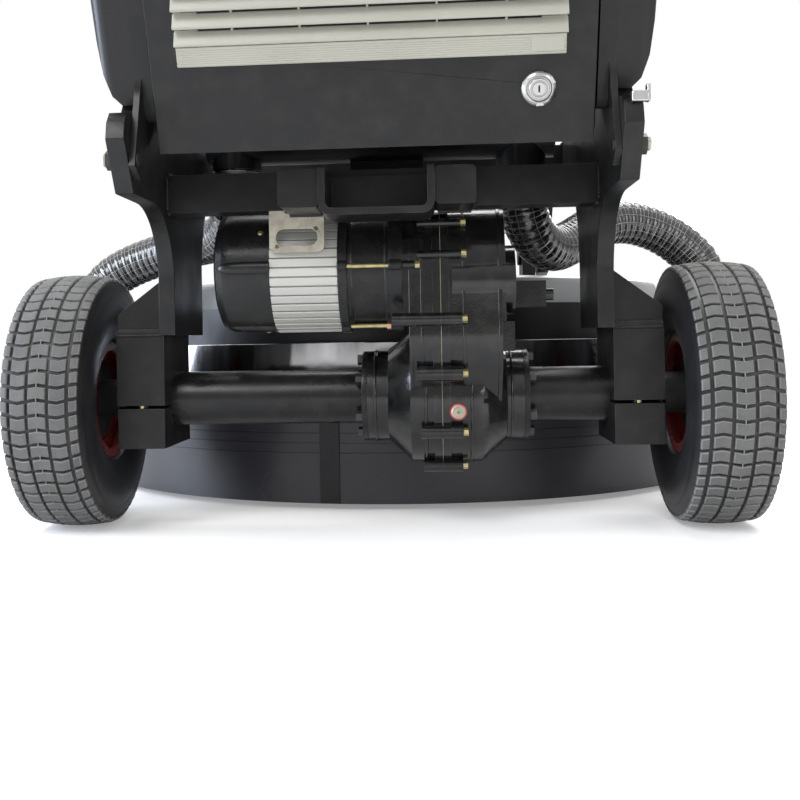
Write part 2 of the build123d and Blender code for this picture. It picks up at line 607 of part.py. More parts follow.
def cabinet_door():
    """Pan door with a louver opening, a lock hole and two hinge knuckles."""
    door = cab_box(-DOOR_HALF, DOOR_HALF, 0, DOOR_H, 0, DOOR_DEPTH)
    door -= cab_box(-DOOR_HALF + 2.5, DOOR_HALF - 2.5, 2.5, DOOR_H - 2.5, 2.5, DOOR_DEPTH + 5)
    door -= cab_box(-LOUVER_HALF + 14, LOUVER_HALF - 14, LOUVER_V0 + 14, LOUVER_V1 - 14, -5, 10)
    door -= cab_rod_w(13.1, -10, 10, LOCK_X, LOCK_V)
    for v in HINGE_V:
        knuckle = cab_box(-DOOR_HALF - 2, -DOOR_HALF + 14, v - 20, v + 20, -2.2, 0)
        knuckle += cab_rod_v(5, v - 20, v + 20, HINGE_X, HINGE_W)
        knuckle -= cab_rod_v(3, v - 30, v + 30, HINGE_X, HINGE_W)
        door += knuckle
    return door


def hinge_leaves():
    """Fixed halves of the two door hinges: pins, knuckles and strap to the upright."""
    leaves = []
    edge = -PLATE_X + 4
    for v in HINGE_V:
        leaf = cab_rod_v(3 - RUN, v - 21, v + 44, HINGE_X, HINGE_W)
        leaf += cab_rod_v(5, v + 21, v + 44, HINGE_X, HINGE_W)
        leaf += cab_box(edge, HINGE_X, v + 21, v + 44, HINGE_W - 1.5, HINGE_W + 1.5)
        leaf += cab_box(edge, edge + 8, v + 21, v + 44, HINGE_W, UPRIGHT_W0)
        leaves.append(leaf)
    return leaves


def door_louver():
    """Moulded grille: frame, lower fascia and sloping slats."""
    t = 14
    frame = cab_box(-LOUVER_HALF, LOUVER_HALF, LOUVER_V0, LOUVER_V1, -t, 0)
    frame -= cab_box(-LOUVER_HALF + 8, LOUVER_HALF - 8, LOUVER_V0 + 22, LOUVER_V1 - 22, -t - 1, 1)
    pitch = 18
    count = int((LOUVER_V1 - LOUVER_V0 - 44) / pitch)
    for index in range(count):
        v = LOUVER_V0 + 22 + pitch * (index + 0.5)
        slat = Pos(0, v, t / 2) * Rot(-38, 0, 0) * Box(2 * LOUVER_HALF - 15, 12, 2.2)
        frame += CAB * slat
    return frame


def door_lock():
    """Round cam lock: collar, barrel and the cam tongue behind the door."""
    lock = cab_rod_w(LOCK_R, -5, -0.2, LOCK_X, LOCK_V)
    lock += cab_rod_w(13, -0.2, 18, LOCK_X, LOCK_V)
    lock += cab_box(LOCK_X - 8, LOCK_X + 8, LOCK_V - 10, LOCK_V + 34, 14, 18)
    return lock - cab_box(LOCK_X - 1, LOCK_X + 1, LOCK_V - 5, LOCK_V + 5, -8, 2)


def uprights():
    """Right upright: a leaning tube with an ear inside the side plate and a handle pivot."""
    tube = cab_box(SHELL_HALF, PLATE_X, UPRIGHT_V0, UPRIGHT_V1, UPRIGHT_W0, UPRIGHT_W1)
    tube = fillet(tube.edges().filter_by(Axis.X).sort_by(Axis.Z)[:2], 14)
    tube -= cab_box(SHELL_HALF + 3, PLATE_X - 3, UPRIGHT_V0 + 50, UPRIGHT_V1 - 8,
                    UPRIGHT_W0 + 3, UPRIGHT_W1 - 3)
    ear = prism_x([(-284, 426), (-264, 414), (-180, 508), (-216, 586), (-240, 586), (-262, 500)],
                  PLATE_X - 7, PLATE_X - GAP)
    ear -= rod_x(6.3, 200, 300, REAR_BOLT_Y, REAR_BOLT_Z)
    y, z = cab_point(HANDLE_V, HANDLE_W)
    pin = rod_x(10, HANDLE_X - 12, SHELL_HALF + 1, y, z)
    pin += rod_x(14, HANDLE_X - 18, HANDLE_X - 12, y, z)
    return tube + ear + pin


def side_panel():
    """Right outer fender panel: a rounded box with a swept and tapered lower end."""
    x0, x1 = PLATE_X, 298
    w0, w1 = UPRIGHT_W0, 120
    section = make_face(Polyline((x0, -w0), (x1, -w0), (x1, -w1), (x0, -w1), close=True))
    section = fillet(section.vertices().sort_by(Axis.X)[-2:].sort_by(Axis.Y)[-1:], 18)
    panel = CAB * Rot(90, 0, 0) * Pos(0, 0, -600) * extrude(section, 570)
    side = [(52, 14), (75, 60), (130, 120), (600, 120), (600, 14)]
    panel &= CAB * extrude(Plane.YZ.offset(x0 - 5) * make_face(Polyline(
        *[(v, -w) for v, w in side], close=True)), 60)
    front = [(x0 - 1, 40), (264, 44), (271, 50), (283, 62), (291, 85), (295, 120), (297, 170),
             (x1 + 1, 600), (x0 - 1, 600)]
    panel &= CAB * extrude(Plane.XY.offset(-w1 - 5) * make_face(Polyline(*front, close=True)), 130)
    return panel


def console():
    """Control console on top of the cabinet with holes for its controls."""
    body = cab_box(-CONSOLE_HALF, CONSOLE_HALF, SHELL_V1, CONSOLE_TOP, 30, 250)
    body = fillet(body.edges().filter_by(Axis.X).sort_by(Axis.Y)[:1], 8)
    body -= cab_box(-CONSOLE_HALF + 4, CONSOLE_HALF - 4, SHELL_V1 - 1, CONSOLE_TOP - 4, 34, 246)
    for x, w, r in CONTROL_HOLES:
        body -= cab_rod_v(r, CONSOLE_TOP - 10, CONSOLE_TOP + 5, x, w)
    return body


def power_inlet():
    """Appliance inlet on the cabinet's right side: flange and a hollow round socket."""
    flange = cab_box(SHELL_HALF, SHELL_HALF + 8, 120, 210, 150, 240)
    y, z = cab_point(165, 195)
    socket = rod_x(32, SHELL_HALF + 8, SHELL_HALF + 50, y, z)
    return flange + socket - rod_x(27, SHELL_HALF + 14, SHELL_HALF + 60, y, z)


ESTOP_X, START_X, STOP_X, KNOB_X = 140, -140, -80, 20
CONTROL_W = 110
CONTROL_HOLES = [(ESTOP_X, CONTROL_W, 11.1), (START_X, CONTROL_W, 11.1), (STOP_X, CONTROL_W, 11.1),
                 (KNOB_X, CONTROL_W, 6 + RUN)]


def push_button(x, head_r, head_h, lift):
    """Mushroom or flush button whose stem slides in the console."""
    stem = cab_rod_v(10.8, CONSOLE_TOP - 16, CONSOLE_TOP + lift, x, CONTROL_W)
    return stem + cab_rod_v(head_r, CONSOLE_TOP + lift, CONSOLE_TOP + lift + head_h, x, CONTROL_W)


def speed_knob():
    """Pointer knob with its spindle."""
    knob = cab_rod_v(6, CONSOLE_TOP - 14, CONSOLE_TOP + 2, KNOB_X, CONTROL_W)
    knob += cab_rod_v(17, CONSOLE_TOP + 1, CONSOLE_TOP + 17, KNOB_X, CONTROL_W)
    return knob + cab_box(KNOB_X - 2.5, KNOB_X + 2.5, CONSOLE_TOP + 17, CONSOLE_TOP + 20,
                          CONTROL_W - 15, CONTROL_W)


def handlebar():
    """Loop handle: two arms on the pivots and a cross grip tube at the rear."""
    y, z = cab_point(HANDLE_V, HANDLE_W)
    end_y, end_z = y - HANDLE_REACH, z + HANDLE_RISE
    pieces = [rod_x(HANDLE_R, -HANDLE_X - 16, HANDLE_X + 16, end_y, end_z)]
    length = hypot(HANDLE_REACH, HANDLE_RISE)
    angle = degrees(atan2(HANDLE_RISE, HANDLE_REACH))
    for side in (-1, 1):
        arm = Pos(side * (HANDLE_X + 6), y, z) * Rot(90 - angle, 0, 0) * Pos(0, 0, length / 2)
        pieces.append(arm * Cylinder(12, length - 1))
        pieces.append(rod_x(20, side * (HANDLE_X - 11.5), side * (SHELL_HALF - 3), y, z))
    bar = pieces[0]
    for piece in pieces[1:]:
        bar += piece
    bar -= rod_x(10 + RUN, -PLATE_X, -HANDLE_X + 13, y, z)
    bar -= rod_x(10 + RUN, HANDLE_X - 13, PLATE_X, y, z)
    return bar


def handle_grips():
    """Two rubber sleeves on the cross tube."""
    y, z = cab_point(HANDLE_V, HANDLE_W)
    y, z = y - HANDLE_REACH, z + HANDLE_RISE
    grip = rod_x(GRIP_R, 60, 190, y, z) - rod_x(HANDLE_R + 0.1, 50, 200, y, z)
    return both(grip)


def make_cabinet():
    """Cabinet, door, console, controls and handle."""
    write("cabinet_shell", cabinet_shell())
    write("cabinet_door", cabinet_door())
    write("door_hinges", hinge_leaves())
    write("door_louver", door_louver())
    write("door_lock", door_lock())
    write("uprights", both(uprights()))
    write("side_panels", both(side_panel()))
    write("control_console", console())
    write("inverter_unit", cab_box(-110, 110, 170, 470, 176, SHELL_W1 - SHELL_T))
    write("power_inlet", power_inlet())
    write("estop_button", push_button(ESTOP_X, 20, 14, 12))
    write("start_button", push_button(START_X, 14, 6, 6))
    write("stop_button", push_button(STOP_X, 14, 6, 6))
    write("speed_knob", speed_knob())
    write("handlebar", handlebar())
    write("handle_grips", handle_grips())


# ---------------------------------------------------------------- grinding head
def head_deck():
    """Round steel deck with its rim and the fixed hub that carries the sun gear."""
    return turn_z([(CARRIER_SHAFT_R + RUN, 130), (118, 130), (118, 196), (540, 196), (540, 187),
                   (552.5, 187), (552.5, 234), (540, 234), (540, DRUM_Z0),
                   (CARRIER_SHAFT_R + RUN, DRUM_Z0)], 0, HEAD_Y)


def head_drum():
    """Black housing on the deck with the pedestal for the main motor."""
    drum = turn_z([(82, DRUM_Z0), (130, DRUM_Z0), (130, 326), (248, 326), (248, 276), (525, 276),
                   (525, DRUM_Z0), (DRUM_R, DRUM_Z0), (DRUM_R, DRUM_Z1), (PEDESTAL_R, DRUM_Z1),
                   (PEDESTAL_R, PEDESTAL_Z), (82, PEDESTAL_Z)], 0, HEAD_Y)
    lug = extrude(Plane.YZ.offset(LUG_X0) * make_face(
        Polyline((HEAD_Y - 40, PEDESTAL_Z), (HEAD_Y + 40, PEDESTAL_Z), (HEAD_Y + 40, PIVOT_Z),
                 (HEAD_Y + 26, PIVOT_Z + 32), (HEAD_Y - 26, PIVOT_Z + 32), (HEAD_Y - 40, PIVOT_Z),
                 close=True)), LUG_X1 - LUG_X0)
    lug -= rod_x(PIVOT_R + RUN, LUG_X0 - 5, LUG_X1 + 5, HEAD_Y, PIVOT_Z)
    for piece in both(lug):
        drum += piece
    for side in (-1, 1):
        drum -= elbow_run(side, SPIGOT_R + 0.2)
    return drum


def head_cover():
    """Light grey ring cover over the drum."""
    return turn_z([(COVER_R - 4, DRUM_Z1), (COVER_R, DRUM_Z1), (COVER_R, COVER_Z - 12),
                   (COVER_R - 3, COVER_Z - 4), (COVER_R - 12, COVER_Z), (PEDESTAL_R + 4, COVER_Z),
                   (PEDESTAL_R + 4, COVER_Z - 4), (COVER_R - 14, COVER_Z - 4),
                   (COVER_R - 4, COVER_Z - 14)], 0, HEAD_Y)


def planet_centre(index):
    """X and Y of one grinding spindle."""
    angle = radians(45 + 90 * index)
    return ORBIT * cos(angle), HEAD_Y + ORBIT * sin(angle)


def planet_carrier():
    """Carrier plate with its shaft and four spindle bearings."""
    carrier = turn_z([(0, CARRIER_Z0), (CARRIER_R, CARRIER_Z0), (CARRIER_R, CARRIER_Z1),
                      (60, CARRIER_Z1), (CARRIER_SHAFT_R, 100), (CARRIER_SHAFT_R, 300),
                      (0, 300)], 0, HEAD_Y)
    for index in range(PLANETS):
        x, y = planet_centre(index)
        carrier -= rod_z(SPINDLE_R + RUN, 50, 110, x, y)
    return carrier


def sun_gear():
    """Fixed sun gear bolted to the deck's hub."""
    gear = gear_z(HEAD_MODULE, SUN_TEETH, 104, 129.9, 0, HEAD_Y, 45)
    return gear - rod_z(80, 100, 140, 0, HEAD_Y)


def grinding_spindle(index):
    """Spindle with its planet gear above the carrier."""
    x, y = planet_centre(index)
    turn = 45 + 90 * index + 180 + 180 / PLANET_TEETH
    gear = gear_z(HEAD_MODULE, PLANET_TEETH, 106, 126, x, y, turn)
    return gear + rod_z(SPINDLE_R, 46, 134, x, y) + rod_z(32, CARRIER_Z1 + 0.5, 106, x, y)


def grinding_disc(index):
    """Disc, rubber-backed hub and six diamond segments that stand on the floor."""
    x, y = planet_centre(index)
    disc = rod_z(DISC_R, 22, 34, x, y) + rod_z(48, 34, 46, x, y)
    pieces = [disc]
    for step in range(6):
        shoe = Pos(x, y, 0) * Rot(0, 0, 60 * step) * box(92, 150, -19, 19, 0, 22)
        pieces.append(fillet(shoe.edges().filter_by(Axis.Z), 8))
    return pieces


def main_motor():
    """Main motor housing with its fan cowl, terminal box and lifting eye."""
    y = HEAD_Y
    base, top, r = MOTOR_BASE_Z, MOTOR_TOP_Z, MOTOR_BODY_R
    housing = turn_z([(40, PEDESTAL_Z), (175, PEDESTAL_Z), (175, base), (128, base), (128, top),
                      (26, top), (26, top - 20), (110, top - 20), (110, base + 20),
                      (40, base + 20)], 0, y)
    for index in range(36):
        fin = box(126, r, -2, 2, base + 14, top - 14)
        housing += Pos(0, y, 0) * Rot(0, 0, 10 * index) * fin
    cowl = turn_z([(r - 4, top), (r, top), (r, COWL_TOP_Z - 10), (r - 14, COWL_TOP_Z),
                   (0, COWL_TOP_Z), (0, COWL_TOP_Z - 4), (r - 16, COWL_TOP_Z - 4),
                   (r - 4, COWL_TOP_Z - 14)], 0, y)
    for radius in (40, 62, 84, 106):
        for step in range(12):
            cowl -= rod_z(5, COWL_TOP_Z - 20, COWL_TOP_Z + 5, radius * cos(radians(30 * step)),
                          y + radius * sin(radians(30 * step)))
    terminal = box(r + 1, r + 71, y - 55, y + 55, 440, 530)
    terminal = fillet(terminal.edges().filter_by(Axis.X), 10)
    neck = box(r - 16, r + 1, y - 30, y + 30, 455, 515) - rod_z(r - 11.5, 440, 530, 0, y)
    housing += neck
    eye = Pos(0, y, COWL_TOP_Z + 34) * Rot(90, 0, 0) * Torus(24, 8) + rod_z(14, COWL_TOP_Z,
                                                                          COWL_TOP_Z + 8, 0, y)
    return housing, cowl, terminal, eye


def main_rotor():
    """Rotor of the main motor with its cooling fan under the cowl."""
    y = HEAD_Y
    rotor = rod_z(26 - RUN, 382, MOTOR_TOP_Z + 70, 0, y) + rod_z(100, 400, 600, 0, y)
    rotor += rod_z(40, MOTOR_TOP_Z + 20, MOTOR_TOP_Z + 60, 0, y)
    for index in range(8):
        blade = box(30, 118, -2, 2, MOTOR_TOP_Z + 20, MOTOR_TOP_Z + 60)
        rotor += Pos(0, y, 0) * Rot(0, 0, 45 * index) * blade
    return rotor


def elbow_run(side, r):
    """Pipe bend from inside the drum, out through its wall and up beside the head."""
    reach = hypot(ELBOW_X, HEAD_Y - ELBOW_Y)
    start = (DRUM_R - 30) / reach
    points = [(ELBOW_X * side * start, HEAD_Y + (ELBOW_Y - HEAD_Y) * start, SPIGOT_Z),
              (ELBOW_X * side, ELBOW_Y, SPIGOT_Z), (ELBOW_X * side, ELBOW_Y, ELBOW_Z)]
    path = FilletPolyline(*points, radius=28)
    return sweep(Plane(origin=path @ 0, z_dir=path % 0) * Circle(r), path)


RIGHT_HOSE = [(470, 259, 290), (470, 259, 334), (440, 260, 372), (396, 257, 400),
              (344, 244, 412), (298, 222, 400), (260, 184, 374), (228, 139, 360),
              (198, 97, 376), (182, 72, 418), (182, 72, 456)]
LEFT_HOSE = [(-470, 259, 290), (-470, 259, 316), (-450, 259, 342), (-412, 256, 362),
             (-364, 247, 376), (-316, 221, 386), (-273, 185, 388), (-240, 141, 394),
             (-219, 98, 411), (-208, 72, 442), (-208, 72, 474)]


def hose(name, points):
    """Plain tube of a suction hose along its route."""
    path = tube_path(name, points)
    tube = sweep(Plane(origin=path @ 0, z_dir=path % 0) * Circle(HOSE_R), path)
    print(name, "length", round(path.length), "volume ratio",
          round(tube.volume / (pi * HOSE_R ** 2 * path.length), 4))
    return tube


def elbows():
    """Two suction elbows on the head, hollow, each with a cuff under its hose."""
    pieces = []
    for side in (-1, 1):
        elbow = elbow_run(side, SPIGOT_R) - elbow_run(side, SPIGOT_R - 3)
        cuff = rod_z(HOSE_R + 1, ELBOW_Z - 8, ELBOW_Z, side * ELBOW_X, ELBOW_Y)
        cuff -= rod_z(SPIGOT_R - 3, 200, 400, side * ELBOW_X, ELBOW_Y)
        pieces.append(elbow + cuff)
    return pieces


def manifold():
    """Suction manifold: cross pipe, two hose necks and the outlet, and its stand."""
    body = rod_x(MANIFOLD_R, -246, 226, MANIFOLD_Y, MANIFOLD_Z)
    necks = [(RIGHT_HOSE[-1][0], RIGHT_HOSE[-1][2]), (LEFT_HOSE[-1][0], LEFT_HOSE[-1][2])]
    for x, z in necks:
        body += rod_z(HOSE_R + 1, z, MANIFOLD_Z - 20, x, MANIFOLD_Y)
    body += rod_z(39, MANIFOLD_Z, OUTLET_Z0 - 2, 0, MANIFOLD_Y)
    body += rod_z(34, MANIFOLD_Z, OUTLET_Z0, 0, MANIFOLD_Y)
    body += rod_z(35, OUTLET_Z0, OUTLET_Z1, 0, MANIFOLD_Y)
    body -= rod_x(MANIFOLD_R - 4, -242, 222, MANIFOLD_Y, MANIFOLD_Z)
    body -= rod_z(30, MANIFOLD_Z, OUTLET_Z1 + 10, 0, MANIFOLD_Y)
    for x, z in necks:
        body -= rod_z(SPIGOT_R, z - 10, MANIFOLD_Z - 10, x, MANIFOLD_Y)
    stand = box(-50, 50, 66, 470, PEDESTAL_Z, PEDESTAL_Z + 12)
    stand += box(-50, 50, 66, 78, PEDESTAL_Z, MANIFOLD_Z)
    stand -= rod_x(MANIFOLD_R, -60, 60, MANIFOLD_Y, MANIFOLD_Z)
    stand -= rod_z(178, 330, 380, 0, HEAD_Y)
    return [body, stand.solids().sort_by(SortBy.VOLUME)[-1]]


def make_head():
    """Everything that floats with the grinding head."""
    write("head_deck", head_deck())
    write("head_drum", head_drum())
    write("head_cover", head_cover())
    write("trim_band", turn_z([(552.8, 188), (HEAD_R, 188), (HEAD_R, 234.5), (552.8, 234.5)],
                              0, HEAD_Y))
    write("dust_skirt", turn_z([(551, 8), (558, 8), (558, 187), (551, 187)], 0, HEAD_Y))
    write("sun_gear", sun_gear())
    write("main_motor", main_motor())
    write("main_rotor", main_rotor())
    write("suction_elbows", elbows())
    write("suction_manifold", manifold())
    write("hose_right", hose("hose_right", RIGHT_HOSE))
    write("hose_left", hose("hose_left", LEFT_HOSE))
    write("planet_carrier", planet_carrier())
    for index in range(PLANETS):
        write(f"grinding_spindle_{index + 1}", grinding_spindle(index))
        write(f"grinding_disc_{index + 1}", grinding_disc(index))


make_wheels()
make_transaxle()
make_frame()
make_cabinet()
make_head()

os.makedirs("parts", exist_ok=True)
for name, shape in parts.items():
    export_step(shape, f"parts/{name}.step")
print(len(parts), "nodes; middle of the box from the axle", round(MID_Y, 2))
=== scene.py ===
"""Walk-behind concrete floor grinder: looks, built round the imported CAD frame.

Lengths in the piece functions are millimetres in the axle frame: X across, Y forwards from the
axle, Z up from the floor. at() turns them into the row frame in metres.
"""
import bpy
import bmesh
import json
from math import cos, pi, radians, sin
from mathutils import Matrix, Vector


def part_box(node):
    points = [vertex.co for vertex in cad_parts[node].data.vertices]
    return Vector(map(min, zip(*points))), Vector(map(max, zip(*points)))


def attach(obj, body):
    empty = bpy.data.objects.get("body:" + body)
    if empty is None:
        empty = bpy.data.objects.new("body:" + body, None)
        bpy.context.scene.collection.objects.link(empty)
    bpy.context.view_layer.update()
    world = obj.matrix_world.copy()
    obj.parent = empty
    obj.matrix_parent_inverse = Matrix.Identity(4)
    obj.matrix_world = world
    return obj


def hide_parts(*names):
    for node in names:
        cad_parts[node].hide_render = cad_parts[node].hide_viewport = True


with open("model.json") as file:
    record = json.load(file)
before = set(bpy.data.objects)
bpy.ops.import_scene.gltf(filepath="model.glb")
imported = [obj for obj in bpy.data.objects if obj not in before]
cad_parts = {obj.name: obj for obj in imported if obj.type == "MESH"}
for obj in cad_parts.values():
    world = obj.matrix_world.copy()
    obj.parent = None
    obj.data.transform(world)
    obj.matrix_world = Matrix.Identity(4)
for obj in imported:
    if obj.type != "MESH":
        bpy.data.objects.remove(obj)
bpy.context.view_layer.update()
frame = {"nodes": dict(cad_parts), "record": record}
NODES = frame["nodes"]

axle_low, axle_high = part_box("axle_tubes")
AXLE_Y = (axle_low.y + axle_high.y) / 2          # row Y of the axle
tyre_low, tyre_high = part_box("tyre_right")
TYRE_R = (tyre_high.z - tyre_low.z) * 500
WHEEL_X = (tyre_high.x + tyre_low.x) * 500
AXLE_Z = TYRE_R
LEAN = radians(22)
DOOR_Y, DOOR_Z = -238, 445


def at(x, y, z):
    """Row-frame point of an axle-frame one in millimetres."""
    return Vector((x / 1000, y / 1000 + AXLE_Y, z / 1000))


def cab(x, v, w):
    """Row-frame point in the leaning cabinet: v up the door, w forwards from its face."""
    return at(x, DOOR_Y - v * sin(LEAN) + w * cos(LEAN), DOOR_Z + v * cos(LEAN) + w * sin(LEAN))


# ---------------------------------------------------------------- materials
def node_chain(name):
    """A new material with its node tree, shader and object coordinates."""
    made = bpy.data.materials.new(name)
    made.use_nodes = True
    tree = made.node_tree
    return made, tree, tree.nodes["Principled BSDF"], tree.nodes.new("ShaderNodeTexCoord")


def noise(tree, coord, scale, detail=3.0, stretch=(1, 1, 1)):
    """Noise texture in object space, stretched along an axis if asked."""
    mapping = tree.nodes.new("ShaderNodeMapping")
    mapping.inputs["Scale"].default_value = stretch
    tree.links.new(coord.outputs["Object"], mapping.inputs["Vector"])
    texture = tree.nodes.new("ShaderNodeTexNoise")
    texture.inputs["Scale"].default_value = scale
    texture.inputs["Detail"].default_value = detail
    tree.links.new(mapping.outputs["Vector"], texture.inputs["Vector"])
    return texture.outputs["Fac"]


def remap(tree, value, low, high, start=0.3, end=0.7):
    """The value from start to end, spread over low to high."""
    node = tree.nodes.new("ShaderNodeMapRange")
    node.inputs["From Min"].default_value = start
    node.inputs["From Max"].default_value = end
    node.inputs["To Min"].default_value = low
    node.inputs["To Max"].default_value = high
    tree.links.new(value, node.inputs["Value"])
    return node.outputs["Result"]


def maths(tree, kind, a, b):
    """One maths node; a and b are sockets or numbers."""
    node = tree.nodes.new("ShaderNodeMath")
    node.operation = kind
    for socket, value in zip(node.inputs, (a, b)):
        if isinstance(value, (int, float)):
            socket.default_value = value
        else:
            tree.links.new(value, socket)
    return node.outputs[0]


def mix(tree, factor, first, second):
    """Colour mix; each colour is a socket or three numbers."""
    node = tree.nodes.new("ShaderNodeMix")
    node.data_type = "RGBA"
    tree.links.new(factor, node.inputs["Factor"])
    for socket, value in ((node.inputs["A"], first), (node.inputs["B"], second)):
        if isinstance(value, (tuple, list)):
            socket.default_value = (*value, 1)
        else:
            tree.links.new(value, socket)
    return node.outputs["Result"]


def scaled(colour, factor):
    """Colour times a factor, held to 1."""
    return tuple(min(1.0, c * factor) for c in colour)


EDGE_LOW, EDGE_HIGH = 0.02, 0.25          # range of 1 - cos that counts as an edge


def edge_mask(tree, radius):
    """1 along sharp edges, from a rounded normal set against the true one."""
    bevel = tree.nodes.new("ShaderNodeBevel")
    bevel.samples = 4
    bevel.inputs["Radius"].default_value = radius
    geometry = tree.nodes.new("ShaderNodeNewGeometry")
    dot = tree.nodes.new("ShaderNodeVectorMath")
    dot.operation = "DOT_PRODUCT"
    tree.links.new(bevel.outputs[0], dot.inputs[0])
    tree.links.new(geometry.outputs["Normal"], dot.inputs[1])
    spread = maths(tree, "SUBTRACT", 1.0, dot.outputs["Value"])
    return remap(tree, spread, 0, 1, EDGE_LOW, EDGE_HIGH)


def finish_shader(tree, shader, colour, rough, height, bump, reach=0.0006):
    """Links colour, roughness and a bump to the shader."""
    tree.links.new(colour, shader.inputs["Base Color"])
    tree.links.new(rough, shader.inputs["Roughness"])
    node = tree.nodes.new("ShaderNodeBump")
    node.inputs["Strength"].default_value = bump
    node.inputs["Distance"].default_value = reach
    tree.links.new(height, node.inputs["Height"])
    tree.links.new(node.outputs["Normal"], shader.inputs["Normal"])


def surface(name, colour, rough, metallic=0.0, coat=0.0, mottle=0.18, patch=14, grain=900,
            bump=0.12, spread=0.25, stretch=(1, 1, 1), edge_wear_and_highlight=None, dust=None, specular=0.5):
    """General painted, cast, moulded or plated surface.

    mottle and patch vary the colour over large patches, grain and bump give the fine relief,
    edge_wear_and_highlight is a lighter colour along edges for rubbed paint and painted edge
    highlights, and dust is (colour, amount) in the large patches.
    """
    made, tree, shader, coord = node_chain(name)
    large = noise(tree, coord, patch, 4.0, stretch)
    fine = noise(tree, coord, grain, 2.0, stretch)
    shade = mix(tree, remap(tree, large, 0, 1), scaled(colour, 1 - mottle),
                scaled(colour, 1 + mottle))
    if dust:
        settled = remap(tree, noise(tree, coord, patch * 3.1, 6.0), 0, dust[1], 0.45, 0.8)
        shade = mix(tree, settled, shade, dust[0])
    # edges lighter: rubbed paint and painted edge highlights
    if edge_wear_and_highlight:
        wear_and_painted_light = maths(tree, "MULTIPLY", edge_mask(tree, 0.0012),
                     remap(tree, noise(tree, coord, 60, 5.0), 0, 1, 0.42, 0.66))
        shade = mix(tree, wear_and_painted_light, shade, edge_wear_and_highlight)
    finish_shader(tree, shader, shade,
                  remap(tree, large, max(0.02, rough * (1 - spread)), min(1, rough * (1 + spread))),
                  fine, bump)
    shader.inputs["Metallic"].default_value = metallic
    shader.inputs["Coat Weight"].default_value = coat
    shader.inputs["Coat Roughness"].default_value = 0.12
    shader.inputs["Specular IOR Level"].default_value = specular
    return made


def tread_rubber():
    """Rubber with paler scuffed block tops and top edges, and near-black grooves of painted shade; the
    mesh holds each point's level from groove floor to block top.
    """
    made, tree, shader, coord = node_chain("tyre_tread")
    wear_and_painted_light = tree.nodes.new("ShaderNodeAttribute")
    wear_and_painted_light.attribute_name = "wear_and_painted_light"
    large = noise(tree, coord, 25, 5.0)
    fine = noise(tree, coord, 1400, 3.0)
    top = mix(tree, remap(tree, large, 0, 1), (0.078, 0.079, 0.078), (0.12, 0.121, 0.118))
    # paler rim along the block top edges
    edge = remap(tree, wear_and_painted_light.outputs["Fac"], 1, 0, 0.78, 0.98)
    top = mix(tree, edge, top, (0.30, 0.30, 0.29))
    speck = mix(tree, remap(tree, fine, 0, 0.5, 0.5, 0.8), top, (0.20, 0.20, 0.19))
    # near-black groove colour, darker than the sidewall rubber: painted shade in the grooves
    black = mix(tree, remap(tree, large, 0, 1), (0.006, 0.006, 0.007), (0.013, 0.013, 0.014))
    shade = mix(tree, wear_and_painted_light.outputs["Fac"], black, speck)
    finish_shader(tree, shader, shade, remap(tree, wear_and_painted_light.outputs["Fac"], 0.42, 0.85, 0, 1),
                  fine, 0.35, 0.0004)
    return made


def hose_skin(rib):
    """Glossy black hose with a pale net of painted highlights: rings at the rib edges, lines along it.
    """
    made, tree, shader, coord = node_chain("hose_skin")
    uv = tree.nodes.new("ShaderNodeUVMap")
    uv.uv_map = "along"
    split = tree.nodes.new("ShaderNodeSeparateXYZ")
    tree.links.new(uv.outputs["UV"], split.inputs[0])

    def lines(value, width):
        wave = maths(tree, "ABSOLUTE", maths(tree, "SUBTRACT", maths(tree, "FRACT", value, 0), 0.5), 0)
        return maths(tree, "LESS_THAN", wave, width)
    rings = lines(maths(tree, "MULTIPLY", split.outputs["X"], 2 / rib), 0.06)
    along = lines(maths(tree, "MULTIPLY", split.outputs["Y"], 17), 0.035)
    highlight_net = maths(tree, "MAXIMUM", rings, along)
    faded_highlights = maths(tree, "MULTIPLY", highlight_net, remap(tree, noise(tree, coord, 60, 3.0), 0.25, 0.9))
    large = noise(tree, coord, 30, 3.0)
    black = mix(tree, large, (0.009, 0.009, 0.010), (0.022, 0.022, 0.024))
    # pale net colour: painted highlights on the rib edges and along the hose
    shade = mix(tree, faded_highlights, black, (0.42, 0.42, 0.39))
    finish_shader(tree, shader, shade, remap(tree, large, 0.14, 0.26), highlight_net, 0.3, 0.0004)
    shader.inputs["Coat Weight"].default_value = 0.6
    shader.inputs["Coat Roughness"].default_value = 0.08
    return made


